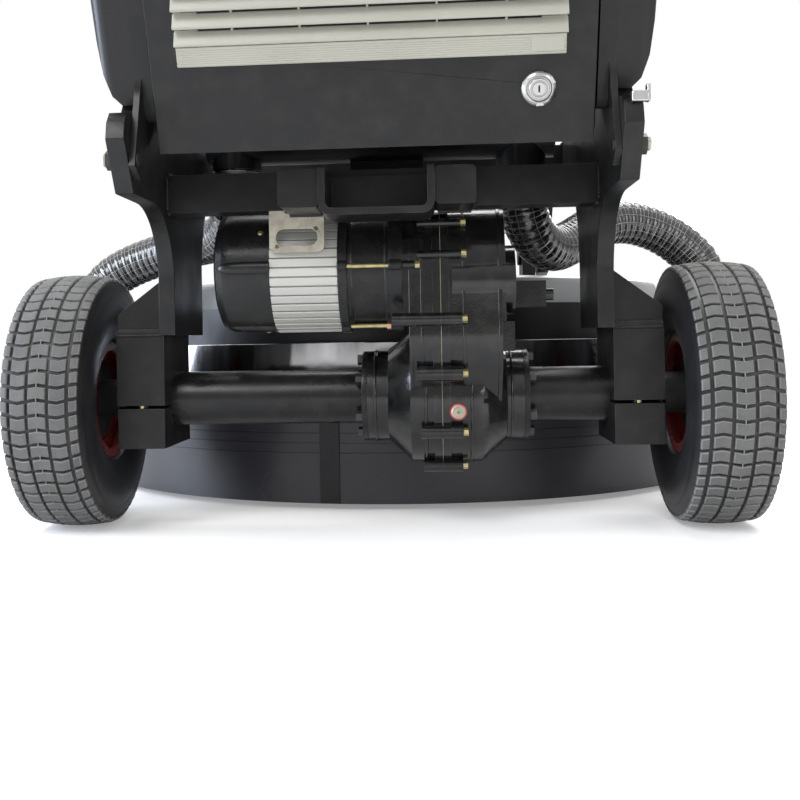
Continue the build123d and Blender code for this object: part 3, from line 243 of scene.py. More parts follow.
BLACK = (0.0062, 0.0064, 0.0066)
# Edge colours on the black finishes are lighter: rubbed paint and painted edge highlights.
MATERIALS = {
    "frame_black": surface("frame_black", BLACK, 0.38, bump=0.22, grain=650, mottle=0.12,
                           edge_wear_and_highlight=(0.075, 0.075, 0.075), dust=((0.04, 0.039, 0.034), 0.25),
                           specular=0.32),
    "cast_black": surface("cast_black", (0.0048, 0.005, 0.0051), 0.19, bump=0.3, grain=330,
                          mottle=0.3, patch=22, edge_wear_and_highlight=(0.07, 0.07, 0.072), coat=0.45,
                          dust=((0.042, 0.04, 0.033), 0.35), specular=0.3),
    "motor_black": surface("motor_black", (0.008, 0.0082, 0.0084), 0.28, bump=0.2, grain=420,
                           mottle=0.2, edge_wear_and_highlight=(0.075, 0.075, 0.07), specular=0.32,
                           dust=((0.045, 0.043, 0.034), 0.3)),
    "stator_alu": surface("stator_alu", (0.47, 0.465, 0.435), 0.46, metallic=0.55, grain=500,
                          bump=0.15, mottle=0.10, stretch=(0.12, 1, 1), spread=0.15),
    "brass": surface("brass", (0.50, 0.43, 0.22), 0.36, metallic=0.9, mottle=0.25, patch=120,
                     grain=700),
    "zinc": surface("zinc", (0.42, 0.39, 0.32), 0.42, metallic=0.5, mottle=0.16, patch=45,
                    grain=500, bump=0.2, dust=((0.25, 0.19, 0.12), 0.55)),
    "chrome": surface("chrome", (0.72, 0.72, 0.74), 0.07, metallic=1.0, mottle=0.06, patch=9,
                      grain=160, bump=0.02, spread=0.5),
    # streaks of lighter and darker chrome colour along the band: painted reflection streaks
    "band_chrome": surface("band_chrome", (0.52, 0.52, 0.53), 0.15, metallic=1.0, mottle=0.35,
                           patch=26, grain=240, bump=0.03, spread=0.6, stretch=(1, 1, 0.08)),
    "bright_steel": surface("bright_steel", (0.48, 0.48, 0.47), 0.32, metallic=1.0, grain=600,
                            bump=0.1, stretch=(1, 1, 0.1)),
    "bolt_black": surface("bolt_black", (0.05, 0.05, 0.052), 0.38, metallic=0.6, grain=800,
                          bump=0.15, edge_wear_and_highlight=(0.2, 0.2, 0.19)),
    "rim_red": surface("rim_red", (0.17, 0.008, 0.008), 0.28, coat=0.4, mottle=0.2, grain=500,
                       bump=0.12, edge_wear_and_highlight=(0.09, 0.02, 0.02), dust=((0.10, 0.06, 0.05), 0.3)),
    "ivory": surface("ivory", (0.33, 0.325, 0.278), 0.48, grain=1100, bump=0.08, mottle=0.05,
                     specular=0.4),
    "panel_black": surface("panel_black", (0.008, 0.008, 0.0088), 0.36, coat=0.12, grain=900,
                           bump=0.06, mottle=0.15, specular=0.25),
    "cover_grey": surface("cover_grey", (0.36, 0.37, 0.375), 0.34, grain=600, bump=0.12,
                          mottle=0.06, coat=0.2),
    # black paint with a slight blue tint, lighter and bluer than the other blacks to hold a painted
    # sheen
    "skirt_black": surface("skirt_black", (0.030, 0.030, 0.036), 0.33, grain=700, bump=0.12,
                           mottle=0.12, patch=8, specular=0.4),
    "grip_rubber": surface("grip_rubber", (0.020, 0.020, 0.021), 0.72, grain=900, bump=0.4),
    "signal_red": surface("signal_red", (0.52, 0.012, 0.010), 0.22, coat=0.4, grain=700,
                          bump=0.05, mottle=0.08),
    "signal_green": surface("signal_green", (0.012, 0.30, 0.045), 0.22, coat=0.4, grain=700,
                            bump=0.05, mottle=0.08),
    "knob_black": surface("knob_black", (0.022, 0.022, 0.023), 0.45, grain=1100, bump=0.2),
    "device_grey": surface("device_grey", (0.20, 0.21, 0.22), 0.5, grain=1200, bump=0.25,
                           mottle=0.06),
    "gear_steel": surface("gear_steel", (0.30, 0.30, 0.30), 0.28, metallic=1.0, grain=500,
                          bump=0.1, dust=((0.08, 0.06, 0.03), 0.4)),
    "diamond": surface("diamond", (0.24, 0.23, 0.21), 0.6, metallic=0.6, grain=260, bump=0.8,
                       mottle=0.3, patch=90),
    "sidewall": surface("sidewall", (0.017, 0.017, 0.019), 0.30, grain=500, bump=0.1,
                        mottle=0.2, patch=30, dust=((0.06, 0.06, 0.055), 0.25)),
    "dark_inside": surface("dark_inside", (0.008, 0.008, 0.008), 0.7, grain=600, bump=0.3),
    "gasket": surface("gasket", (0.22, 0.20, 0.13), 0.6, grain=500, bump=0.3, mottle=0.3,
                      patch=70),
    "white_paint": surface("white_paint", (0.62, 0.62, 0.60), 0.4, grain=700, bump=0.1,
                           mottle=0.05),
    "cable_black": surface("cable_black", (0.016, 0.016, 0.017), 0.38, grain=900, bump=0.15),
    "screen": surface("screen", (0.02, 0.035, 0.035), 0.08, coat=0.6, grain=400, bump=0.01),
    "copper": surface("copper", (0.55, 0.33, 0.22), 0.36, metallic=0.8, grain=500, mottle=0.2,
                      patch=100),
}
TREAD = tread_rubber()


# ---------------------------------------------------------------- mesh helpers
def piece(name, bm, body, finish, replaces=(), smooth=35, bevel=0.0):
    """Turns a bmesh into a piece on a CAD body, with its material and rounded edges."""
    bmesh.ops.remove_doubles(bm, verts=bm.verts, dist=1e-6)
    bmesh.ops.recalc_face_normals(bm, faces=bm.faces)
    data = bpy.data.meshes.new(name)
    bm.to_mesh(data)
    bm.free()
    data.polygons.foreach_set("use_smooth", [True] * len(data.polygons))
    data.set_sharp_from_angle(angle=radians(smooth))
    made = bpy.data.objects.new(name, data)
    bpy.context.scene.collection.objects.link(made)
    data.materials.append(MATERIALS[finish] if isinstance(finish, str) else finish)
    if bevel:
        rounded = made.modifiers.new("edges", "BEVEL")
        rounded.width = bevel / 1000
        rounded.segments = 2
        rounded.limit_method = "ANGLE"
        rounded.angle_limit = radians(smooth)
        rounded.harden_normals = False
        weighted = made.modifiers.new("normals", "WEIGHTED_NORMAL")
        weighted.keep_sharp = True
    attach(made, body)
    if replaces:
        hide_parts(*replaces)
    return made


def loft(bm, rings, closed_ring=True, closed_loft=False, caps=False):
    """Skins a list of rings of points, all of the same length."""
    rows = [[bm.verts.new(p) for p in ring] for ring in rings]
    count = len(rows[0])
    pairs = list(zip(rows, rows[1:])) + ([(rows[-1], rows[0])] if closed_loft else [])
    for a, b in pairs:
        for i in range(count if closed_ring else count - 1):
            j = (i + 1) % count
            bm.faces.new((a[i], a[j], b[j], b[i]))
    if caps:
        bm.faces.new(rows[0])
        bm.faces.new(list(reversed(rows[-1])))
    return rows


def turned(bm, profile, centre, axis, steps=64, closed=True):
    """Profile of (along, radius) millimetres turned about an axis through centre, in metres."""
    z = Vector(axis).normalized()
    x = z.orthogonal().normalized()
    y = z.cross(x)
    rings = []
    for k in range(steps):
        a = 2 * pi * k / steps
        out = x * cos(a) + y * sin(a)
        rings.append([centre + z * s / 1000 + out * r / 1000 for s, r in profile])
    loft(bm, rings, closed_ring=closed, closed_loft=True)


def block(bm, corners):
    """Box from eight points: four of one end, then four of the other."""
    v = [bm.verts.new(p) for p in corners]
    for a, b, c, d in ((0, 1, 2, 3), (7, 6, 5, 4), (0, 4, 5, 1), (1, 5, 6, 2), (2, 6, 7, 3),
                       (3, 7, 4, 0)):
        bm.faces.new((v[a], v[b], v[c], v[d]))


def brick(bm, x0, x1, y0, y1, z0, z1, place=at):
    """Box between two corners, in the axle frame or in the cabinet's."""
    block(bm, [place(x0, y0, z0), place(x1, y0, z0), place(x1, y1, z0), place(x0, y1, z0),
               place(x0, y0, z1), place(x1, y0, z1), place(x1, y1, z1), place(x0, y1, z1)])


def prism(bm, outline, x0, x1, place=at):
    """Outline of two-number points, extruded along X."""
    loft(bm, [[place(x0, a, b) for a, b in outline], [place(x1, a, b) for a, b in outline]],
         caps=True)


def rod(bm, start, end, r, steps=24, chamfer=0.6):
    """Round bar between two row-frame points, with chamfered ends; r is in millimetres."""
    length = (end - start).length * 1000
    profile = [(0, 0.01), (0, r - chamfer), (chamfer, r), (length - chamfer, r),
               (length, r - chamfer), (length, 0.01)]
    turned(bm, profile, start, end - start, steps, closed=False)


def hexagon(bm, centre, axis, across, height, turn=0.0):
    """Hexagon head standing on centre along axis, with a chamfered top."""
    z = Vector(axis).normalized()
    x = z.orthogonal().normalized()
    y = z.cross(x)
    r = across / 2 / cos(pi / 6) / 1000
    rings = []
    for s, q in ((0, 1.0), (0.82, 1.0), (1.0, 0.86)):
        rings.append([centre + z * s * height / 1000
                      + (x * cos(pi * k / 3 + turn) + y * sin(pi * k / 3 + turn)) * r * q
                      for k in range(6)])
    loft(bm, rings, caps=True)


def tube(bm, points, r, steps=10, wobble=0.0, pitch=0.004):
    """Round tube along row-frame points; a wobble gives it the ripples of a weld bead."""
    tangent = (points[1] - points[0]).normalized()
    side = tangent.orthogonal().normalized()
    rings = []
    travelled = 0.0
    for i, p in enumerate(points):
        ahead = points[min(i + 1, len(points) - 1)] - points[max(i - 1, 0)]
        new = ahead.normalized()
        side = (side - new * side.dot(new)).normalized()
        up = new.cross(side)
        if i:
            travelled += (p - points[i - 1]).length
        size = r / 1000 * (1 + wobble * sin(2 * pi * travelled / pitch))
        if wobble and i in (0, len(points) - 1):
            size *= 0.3
        rings.append([p + (side * cos(2 * pi * k / steps) + up * sin(2 * pi * k / steps)) * size
                      for k in range(steps)])
    loft(bm, rings, caps=True)


def spaced(points, step):
    """Row-frame points along straight runs, at most step metres apart."""
    out = [points[0]]
    for a, b in zip(points, points[1:]):
        count = max(1, int((b - a).length / step))
        out += [a.lerp(b, (k + 1) / count) for k in range(count)]
    return out


def hull(points):
    """Convex outline of two-number points, counter-clockwise."""
    points = sorted(set(points))

    def half(ordered):
        chain = []
        for p in ordered:
            while len(chain) > 1 and ((chain[-1][0] - chain[-2][0]) * (p[1] - chain[-2][1])
                                      - (chain[-1][1] - chain[-2][1]) * (p[0] - chain[-2][0])) <= 0:
                chain.pop()
            chain.append(p)
        return chain[:-1]
    return half(points) + half(points[::-1])


# ---------------------------------------------------------------- camera, light and floor
def make_camera():
    """Low camera behind the machine, at about axle height."""
    yaw, pitch, roll = 0.079, 0.007, -0.017
    forward = Vector((-sin(yaw) * cos(pitch), cos(yaw) * cos(pitch), sin(pitch)))
    right = Vector((cos(yaw), sin(yaw), 0))
    up = right.cross(forward)
    across = right * cos(roll) + up * sin(roll)
    upright = up * cos(roll) - right * sin(roll)
    data = bpy.data.cameras.new("camera")
    data.sensor_width = 36
    data.lens = 46.85
    data.shift_x = 0.0554
    data.shift_y = -0.0855
    data.clip_start = 0.05
    camera = bpy.data.objects.new("camera", data)
    turn = Matrix((across, upright, -forward)).transposed().to_4x4()
    camera.matrix_world = Matrix.Translation(at(66.2, -1356.3, 239.5)) @ turn
    bpy.context.scene.collection.objects.link(camera)
    bpy.context.scene.camera = camera


def soft_light(name, place, target, size, power, colour=(1, 1, 1)):
    """Square area light aimed at a point."""
    data = bpy.data.lights.new(name, "AREA")
    data.shape = "SQUARE"
    data.size = size
    data.energy = power
    data.color = colour
    lamp = bpy.data.objects.new(name, data)
    lamp.location = place
    lamp.rotation_euler = (Vector(target) - Vector(place)).to_track_quat("-Z", "Y").to_euler()
    bpy.context.scene.collection.objects.link(lamp)


def make_studio():
    """Pale floor, soft lights and an even pale surround."""
    made, tree, shader, coord = node_chain("studio_floor")
    large = noise(tree, coord, 3, 3.0)
    shade = mix(tree, large, (0.86, 0.86, 0.86), (0.90, 0.90, 0.90))
    finish_shader(tree, shader, shade, remap(tree, large, 0.55, 0.65), large, 0.02)
    seen = tree.nodes.new("ShaderNodeLightPath").outputs["Is Camera Ray"]
    shader.inputs["Emission Color"].default_value = (1, 1, 1, 1)
    tree.links.new(remap(tree, seen, 0, 0.26, 0, 1), shader.inputs["Emission Strength"])
    bm = bmesh.new()
    bmesh.ops.create_grid(bm, x_segments=2, y_segments=2, size=40)
    data = bpy.data.meshes.new("floor")
    bm.to_mesh(data)
    bm.free()
    data.materials.append(made)
    floor_plane = bpy.data.objects.new("floor", data)
    floor_plane.location = (0, 0, -0.0005)
    bpy.context.scene.collection.objects.link(floor_plane)
    world = bpy.data.worlds.new("studio")
    world.use_nodes = True
    tree = world.node_tree
    background = tree.nodes["Background"]
    direction = tree.nodes.new("ShaderNodeTexCoord")
    parts = tree.nodes.new("ShaderNodeSeparateXYZ")
    tree.links.new(direction.outputs["Generated"], parts.inputs[0])
    sky = remap(tree, parts.outputs["Z"], 0.30, 1.1, -0.1, 0.75)
    seen = tree.nodes.new("ShaderNodeLightPath").outputs["Is Camera Ray"]
    tree.links.new(maths(tree, "MAXIMUM", seen, sky), background.inputs["Strength"])
    background.inputs["Color"].default_value = (1, 1, 1, 1)
    bpy.context.scene.world = world
    soft_light("key", (-1.5, -3.0, 2.9), (0, 0, 0.35), 1.6, 80)
    soft_light("fill", (2.4, -2.9, 1.2), (0, 0, 0.35), 1.4, 26)
    soft_light("top", (0.2, 0.6, 3.2), (0, 0, 0.3), 2.2, 90)
    soft_light("front", (1.5, 3.2, 2.2), (0, 0.3, 0.3), 2.0, 45)
    soft_light("cool", (-2.8, -0.75, 0.8), (-0.3, 0.2, 0.15), 1.5, 90, (0.74, 0.83, 1.0))
    bpy.context.scene.view_settings.view_transform = "Standard"


# ---------------------------------------------------------------- suction hoses
HOSE_R = 32.5
RIB = 0.0126                              # metres from rib to rib
RIB_WAVE = (1.0, 1.0, 1.0, 0.992, 0.968, 0.96, 0.968, 0.992)
HOSE_SIDES = 68
RIGHT_HOSE = [(470, 259, 290), (470, 259, 334), (440, 260, 372), (396, 257, 400),
              (344, 244, 412), (298, 222, 400), (260, 184, 374), (228, 139, 360),
              (198, 97, 376), (182, 72, 418), (182, 72, 456)]
LEFT_HOSE = [(-470, 259, 290), (-470, 259, 316), (-450, 259, 342), (-412, 256, 362),
             (-364, 247, 376), (-316, 221, 386), (-273, 185, 388), (-240, 141, 394),
             (-219, 98, 411), (-208, 72, 442), (-208, 72, 474)]


def smooth_line(name, route):
    """Points along the smooth NURBS line of a route."""
    curve = bpy.data.curves.new(name, "CURVE")
    curve.dimensions = "3D"
    spline = curve.splines.new("NURBS")
    spline.points.add(len(route) - 1)
    for point, place in zip(spline.points, route):
        point.co = (*at(*place), 1)
    spline.order_u = 3
    spline.use_endpoint_u = True
    spline.resolution_u = 24
    holder = bpy.data.objects.new(name, curve)
    bpy.context.scene.collection.objects.link(holder)
    bpy.context.view_layer.update()
    data = bpy.data.meshes.new_from_object(holder)
    points = [v.co.copy() for v in data.vertices]
    bpy.data.objects.remove(holder)
    bpy.data.meshes.remove(data)
    return points


def even(points, step):
    """Points at even steps along a line."""
    reach = [0.0]
    for a, b in zip(points, points[1:]):
        reach.append(reach[-1] + (b - a).length)
    total = reach[-1]
    count = int(round(total / step))
    out, i = [], 0
    for k in range(count + 1):
        s = total * k / count
        while i < len(reach) - 2 and reach[i + 1] < s:
            i += 1
        span = reach[i + 1] - reach[i]
        out.append(points[i].lerp(points[i + 1], (s - reach[i]) / span if span else 0))
    return out


def make_hose(name, route, skin):
    """Ribbed hose: flat-topped ribs round a smooth line, with a net of painted highlights from its
    skin.
    """
    line = even(smooth_line(name + "_line", route), RIB / len(RIB_WAVE))
    bm = bmesh.new()
    layer = bm.loops.layers.uv.new("along")
    side = Vector((0, 1, 0))
    rings, reach, travelled = [], [], 0.0
    for i, p in enumerate(line):
        ahead = (line[min(i + 1, len(line) - 1)] - line[max(i - 1, 0)]).normalized()
        side = (side - ahead * side.dot(ahead)).normalized()
        up = ahead.cross(side)
        if i:
            travelled += (p - line[i - 1]).length
        reach.append(travelled)
        r = HOSE_R / 1000 * RIB_WAVE[i % len(RIB_WAVE)]
        rings.append([p + (side * cos(2 * pi * k / HOSE_SIDES)
                           + up * sin(2 * pi * k / HOSE_SIDES)) * r for k in range(HOSE_SIDES)])
    rows = [[bm.verts.new(p) for p in ring] for ring in rings]
    for i in range(len(rows) - 1):
        for k in range(HOSE_SIDES):
            j = (k + 1) % HOSE_SIDES
            face = bm.faces.new((rows[i][k], rows[i][j], rows[i + 1][j], rows[i + 1][k]))
            for loop, (u, v) in zip(face.loops, ((i, k), (i, k + 1), (i + 1, k + 1), (i + 1, k))):
                loop[layer].uv = (reach[u], v / HOSE_SIDES)
    bm.faces.new(rows[0])
    bm.faces.new(rows[-1])
    made = piece(name + "_ribbed", bm, "head", skin, (name,), smooth=50)


# ---------------------------------------------------------------- tyres
ROWS = 58                                 # rows of tread blocks round the tyre
COLUMNS = ((-46, -38.2, 0), (-32.7, -15.2, 1), (-10, 10, -1), (15.2, 32.7, 1), (38.2, 46, 0))
GROOVE = 4.4                              # depth of the tread grooves
WIDE_BLOCK, NARROW_BLOCK = 12.9, 12.2     # block lengths along the tread


def crown(x):
    """Radius of the tread at x from the tyre's middle."""
    x = abs(x)
    return TYRE_R - 0.0022 * x * x - (0.0006 * (x - 36) ** 3 if x > 36 else 0)


def gap_line(x):
    """How far a cross groove runs ahead at x: a zigzag with peaks in the wide columns."""
    x = abs(x)
    return 4.0 * (x / 24 if x < 24 else 1 - (x - 24) / 16)


def make_tyre(name, side, body):
    """Tyre with five columns of scuffed blocks on a moulded carcass."""
    bm = bmesh.new()
    # level from groove floor (0) to block top (1): gives the paler block tops and the painted shade in
    # the grooves
    wear_and_painted_light = bm.verts.layers.float.new("wear_and_painted_light")
    centre = side * WHEEL_X

    def spot(x, r, a):
        return at(centre + x, -r * cos(a), AXLE_Z + r * sin(a))

    def lap(profile):
        return [[spot(x, r, 2 * pi * k / (ROWS * 3)) for x, r in profile] for k in range(ROWS * 3)]

    low = [(x, crown(x) - GROOVE) for x in (-46, -40, -30, -20, -10, 0, 10, 20, 30, 40, 46)]
    outer = ([(-36, 77.6), (-41, 78), (-44.5, 80), (-45.5, 84), (-47, 90), (-50, 98), (-52.6, 108),
              (-53.4, 118), (-53.0, 128), (-51.4, 138), (-50.4, 141), (-50.6, 143), (-49, 149)]
             + low
             + [(49, 149), (50.6, 143), (50.4, 141), (51.4, 138), (53.0, 128), (53.4, 118),
                (52.6, 108), (50, 98), (47, 90), (45.5, 84), (44.5, 80), (41, 78), (36, 77.6)])
    inner = [(33, 82), (42, 108), (40, 134), (30, 150), (0, 153), (-30, 150), (-40, 134),
             (-42, 108), (-33, 82)]
    loft(bm, lap(outer + inner), closed_loft=True)
    pitch = 2 * pi / ROWS
    for row in range(ROWS):
        for x0, x1, kind in COLUMNS:
            half = (WIDE_BLOCK if kind else NARROW_BLOCK) / TYRE_R / 2
            xs = (x0, (x0 + x1) / 2, x1)
            rings = []
            for grow, drop, level in ((0.9, GROOVE + 0.4, 0.0), (0.0, 0.7, 0.75), (-0.7, 0.0, 1.0)):
                ring = []
                for sign, order in ((-1, xs), (1, xs[::-1])):
                    for x in order:
                        shift = side * -gap_line(x) / TYRE_R
                        edge = grow * (1 if x == x1 else -1 if x == x0 else 0)
                        angle = row * pitch - shift + sign * (half + grow / TYRE_R)
                        ring.append((spot(x + edge, crown(x) - drop, angle), level))
                rings.append(ring)
            rows = []
            for ring in rings:
                made = []
                for p, level in ring:
                    vertex = bm.verts.new(p)
                    vertex[wear_and_painted_light] = level
                    made.append(vertex)
                rows.append(made)
            for a, b in zip(rows, rows[1:]):
                for k in range(6):
                    bm.faces.new((a[k], a[(k + 1) % 6], b[(k + 1) % 6], b[k]))
            t = rows[-1]
            bm.faces.new((t[0], t[1], t[4], t[5]))
            bm.faces.new((t[1], t[2], t[3], t[4]))
        for flank in (-1, 1):
            a = row * pitch
            width = 3.2 / TYRE_R
            block(bm, [spot(flank * (46.2 if r > 150 else 49.2 if r > 146 else 50.6), r, b)
                       for r, b in ((153, a - width), (153, a + width), (143.5, a + width),
                                    (143.5, a - width))]
                  + [spot(flank * (44 if r > 150 else 47), r, b)
                     for r, b in ((154, a - width), (154, a + width), (143, a + width),
                                  (143, a - width))])
    seam = [(-0.5, crown(0) - GROOVE), (-0.35, crown(0) - 0.3), (0.35, crown(0) - 0.3),
            (0.5, crown(0) - GROOVE)]
    for ring in loft(bm, lap(seam), closed_loft=True):
        for vertex in ring[1:3]:
            vertex[wear_and_painted_light] = 0.8
    piece(name + "_tread", bm, body, TREAD, (name,), smooth=28)


def make_valve(name, side, body):
    """Tyre valve standing in the rim on the outer side."""
    bm = bmesh.new()
    start = at(side * (WHEEL_X + 20), 0, AXLE_Z + 62)
    turned(bm, [(0, 0.01), (0, 5.5), (6, 5.2), (12, 3.6), (22, 3.6), (22, 3.0), (24, 3.0),
                (24, 3.4), (34, 3.4), (35, 2.6), (35, 0.01)], start,
           at(side * (WHEEL_X + 40), -6, AXLE_Z + 58) - start, 20, closed=False)
    piece(name, bm, body, "brass", smooth=30)


# ---------------------------------------------------------------- louver and lock
def make_louver():
    """Moulded grille of overlapping slats, with a ribbed lower band and small bridges."""
    half, v0, v1 = 203, 93, 499
    band_top = v0 + 20.4
    pitch = 17.6
    bm = bmesh.new()
    band = [(v0, 0), (v0, -11.5), (v0 + 1.2, -12.6)]
    for rib in range(7):
        v = v0 + 2.6 + rib * 2.3
        band += [(v, -12.6), (v + 0.35, -12.0), (v + 0.7, -12.6)]
    band += [(v0 + 19.6, -12.8), (band_top, -12), (band_top, 0)]
    prism(bm, band, -half + 1.6, half - 1.6, cab)
    brick(bm, half - 37, half - 4, v0 + 3, v0 + 17.6, -13.0, -12.2, cab)
    count = int((v1 - 18 - band_top) / pitch)
    for index in range(count):
        v = band_top + pitch * index
        shingle = [(v + 0.2, -11.4), (v + 0.5, -13.4), (v + 1.2, -14), (v + 3.1, -14),
                   (v + 3.9, -13.2), (v + pitch - 2.3, -5.2), (v + pitch - 2.3, -2.6),
                   (v + 3.4, -10.2), (v + 1.2, -10.6)]
        prism(bm, shingle, -half, half, cab)
        for x0, x1 in ((-half, -half + 26), (half - 27, half)):
            prism(bm, [(v, -2.5), (v, -11.2), (v + pitch - 1, -4.6), (v + pitch - 1, -2.5)],
                  x0 + 0.6, x1 - 0.6, cab)
        for tab in range(-2, 3):
            x = tab * 70.5
            prism(bm, [(v + pitch - 2.6, -2.6), (v + pitch - 2.6, -8.2), (v + pitch + 1, -8.6),
                       (v + pitch + 1, -2.6)], x - 1.1, x + 1.1, cab)
    top = band_top + pitch * count
    prism(bm, [(top, 0), (top, -9), (top + 1, -12), (top + 3, -13.4), (v1 - 2, -12.6), (v1, -11),
               (v1, 0)], -half + 1.6, half - 1.6, cab)
    for side in (-1, 1):
        brick(bm, side * (half - 1), side * (half - 7), v0 + 8, v1 - 8, -3.2, 0, cab)
    piece("louver_grille", bm, "door", "ivory", ("door_louver",), smooth=25, bevel=0.35)
    # dark sheet behind the slats: painted shade of the cabinet's inside
    bm = bmesh.new()
    brick(bm, -half + 18, half - 18, v0 + 16, v1 - 16, -1.6, -0.4, cab)
    piece("louver_shade_sheet", bm, "door", "dark_inside", smooth=25)


def make_lock():
    """Round cam lock with a stepped collar, barrel, key slot and its cam."""
    x, v = 175.5, 57
    centre = cab(x, v, 0)
    out = cab(x, v, -1) - centre
    bm = bmesh.new()
    turned(bm, [(0.2, 6), (0.2, 18), (1.4, 18.5), (3.0, 17.6), (4.6, 15.2), (5, 14.4), (4.6, 13.4),
                (2.6, 12.4), (2.4, 11.2), (4.2, 10.8), (4.8, 10.2), (4.8, 8.8), (3.6, 8.2),
                (3.4, 7.2), (4.4, 6.6), (4.4, 1.2), (3.2, 1.0), (3.2, 0.01)], centre, out, 72,
           closed=False)
    turned(bm, [(0.2, 13), (-18, 13), (-18, 0.01)], centre, out, 48, closed=False)
    brick(bm, x - 8, x + 8, v - 10, v + 34, 14, 18, cab)
    for turn in (20, 140, 260):
        a = radians(turn)
        b = radians(turn + 26)
        ring = [cab(x + r * cos(t), v + r * sin(t), w)
                for w in (-4.9, -1.2) for r, t in ((17.9, a), (17.9, b), (14.6, b), (14.6, a))]
        block(bm, ring)
    piece("door_lock_barrel", bm, "lock", "bright_steel", ("door_lock",), smooth=30)
    bm = bmesh.new()
    brick(bm, x - 0.9, x + 0.9, v - 3.6, v + 3.6, -4.7, -3, cab)
    turned(bm, [(4.0, 9.0), (4.0, 10.0), (3.0, 10.0), (3.0, 9.0)], centre, out, 48)
    piece("door_lock_keyhole", bm, "lock", "dark_inside", smooth=30)


# ---------------------------------------------------------------- drive motor and gear case
MOTOR_Y, MOTOR_Z = -40, 327
ROD_R = 75                                # circle of the five tie rods
ROD_ANGLES = [180 + 72 * k for k in range(5)]
STATOR_X = (-135, -53)
LANDS = 42


def motor_spot(x, r, angle):
    """Point at a radius and angle round the drive motor; the angle is from +Y towards +Z."""
    a = radians(angle)
    return at(x, MOTOR_Y + r * cos(a), MOTOR_Z + r * sin(a))


def make_stator():
    """Extruded stator with broad flat lands between narrow grooves."""
    bm = bmesh.new()
    outline = []
    for k in range(LANDS):
        a = 360 * k / LANDS
        step = 360 / LANDS
        for part, r in ((0.02, 74.4), (0.10, 74.4), (0.12, 77.6), (0.2, 78.0), (0.5, 77.6),
                        (0.86, 77.2), (0.97, 77.0)):
            outline.append((r, a + part * step))
    rings = [[motor_spot(x, r, a) for r, a in outline] for x in STATOR_X]
    inner = [[motor_spot(x, 70, a) for r, a in outline] for x in STATOR_X[::-1]]
    loft(bm, rings + inner, closed_loft=True)
    piece("stator_lands", bm, "chassis", "stator_alu", ("motor_stator",),
          smooth=20, bevel=0.25)


def make_motor_details():
    """Bosses and screws on the end bell, and lugs and nuts round the front housing."""
    bm = bmesh.new()
    for angle in ROD_ANGLES:
        rings = []
        for x, r, half, high in ((-135.5, 72, 8.6, 8.4), (-170, 72, 8.4, 8.0), (-184, 71.6, 7.8, 7.8),
                                 (-193, 70.5, 6.6, 6.8), (-198, 69, 5.0, 5.0), (-201, 67, 2.4, 2.4)):
            centre = motor_spot(x, r, angle)
            out = (motor_spot(x, r + 10, angle) - centre).normalized()
            across = Vector((1, 0, 0)).cross(out)
            rings.append([centre + (across * cos(pi * k / 7) * half
                                    + out * (sin(pi * k / 7) ** 0.6 if 0 < k < 7 else 0) * high)
                          / 1000 for k in range(8)])
        loft(bm, rings, caps=True)
    piece("end_bell_bosses", bm, "chassis", "motor_black", smooth=40)
    bm = bmesh.new()
    for angle in ROD_ANGLES:
        for x0, x1 in ((-53.2, -41.4), (8.4, 24.8)):
            rod(bm, motor_spot(x0, ROD_R, angle), motor_spot(x1, ROD_R, angle), 7.4, 24, 1.2)
    for profile in ([(-42, 71.2), (-42, 72.6), (-38, 72.6), (-36, 71.2)],
                    [(3, 71.2), (5, 72.6), (9, 72.6), (9, 71.2)]):
        turned(bm, profile, at(0, MOTOR_Y, MOTOR_Z), (1, 0, 0), 72)
    piece("tie_rod_lugs", bm, "chassis", "motor_black", smooth=35)
    bm = bmesh.new()
    for angle in ROD_ANGLES[1:]:
        start = motor_spot(8.6, ROD_R, angle)
        hexagon(bm, start, (-1, 0, 0), 10, 5.5)
    piece("tie_rod_nuts", bm, "chassis", "copper", smooth=25, bevel=0.3)
    bm = bmesh.new()
    for x, angle in ((-147, 146), (-147, 262)):
        start = motor_spot(x, 76.4, angle)
        out = motor_spot(x, 90, angle) - start
        turned(bm, [(0, 3.6), (1.4, 3.4), (2.4, 2.2), (2.5, 1.0), (1.4, 0.9), (1.4, 0.01)], start,
               out, 20, closed=False)
    piece("end_bell_screws", bm, "chassis", "brass", smooth=35)


def make_case_heads():
    """Boss and head of the tie rod that reaches the gear case, frame tab, nuts and shims."""
    bm = bmesh.new()
    head = at(40, -117, MOTOR_Z)
    rod(bm, at(24.8, -117, MOTOR_Z), head, 4.6, 20, 0.8)
    piece("tie_rod_boss", bm, "chassis", "cast_black", smooth=35)
    bm = bmesh.new()
    hexagon(bm, head, (1, 0, 0), 8.5, 6, 0.3)
    piece("tie_rod_head", bm, "chassis", "brass", smooth=25, bevel=0.3)
    bm = bmesh.new()
    brick(bm, 264, 281, -297, -288, 473, 484)
    brick(bm, 279, 282.5, -297, -286, 473, 491)
    piece("frame_tab", bm, "chassis", "bright_steel", smooth=30, bevel=1.2)
    bm = bmesh.new()
    for side in (-1, 1):
        hexagon(bm, at(side * 282, -272, 434), (side, 0, 0), 13, 4, 0.2)
    piece("frame_nuts", bm, "chassis", "zinc", smooth=30, bevel=0.8)
    bm = bmesh.new()
    for side in (-1, 1):
        rod(bm, at(side * 309.5, -61, 155.7), at(side * 309.5, -61, 159.3), 3.2, 16, 0.3)
    piece("clamp_shims", bm, "chassis", "brass", smooth=30)


CASE_CIRCLES = [(MOTOR_Y, MOTOR_Z, 77), (-43.02, 244.05, 75), (0, AXLE_Z, 50)]
SEAM_X0, SEAM_X1 = 69.7, 70.3             # gasket between the case halves


def case_outline(grow):
    """Outline round the motor, idler and axle circles of the gear case, grown outwards."""
    return hull([(round(y + (r + grow) * cos(radians(a)), 3),
                  round(z + (r + grow) * sin(radians(a)), 3))
                 for y, z, r in CASE_CIRCLES for a in range(0, 360, 4)])


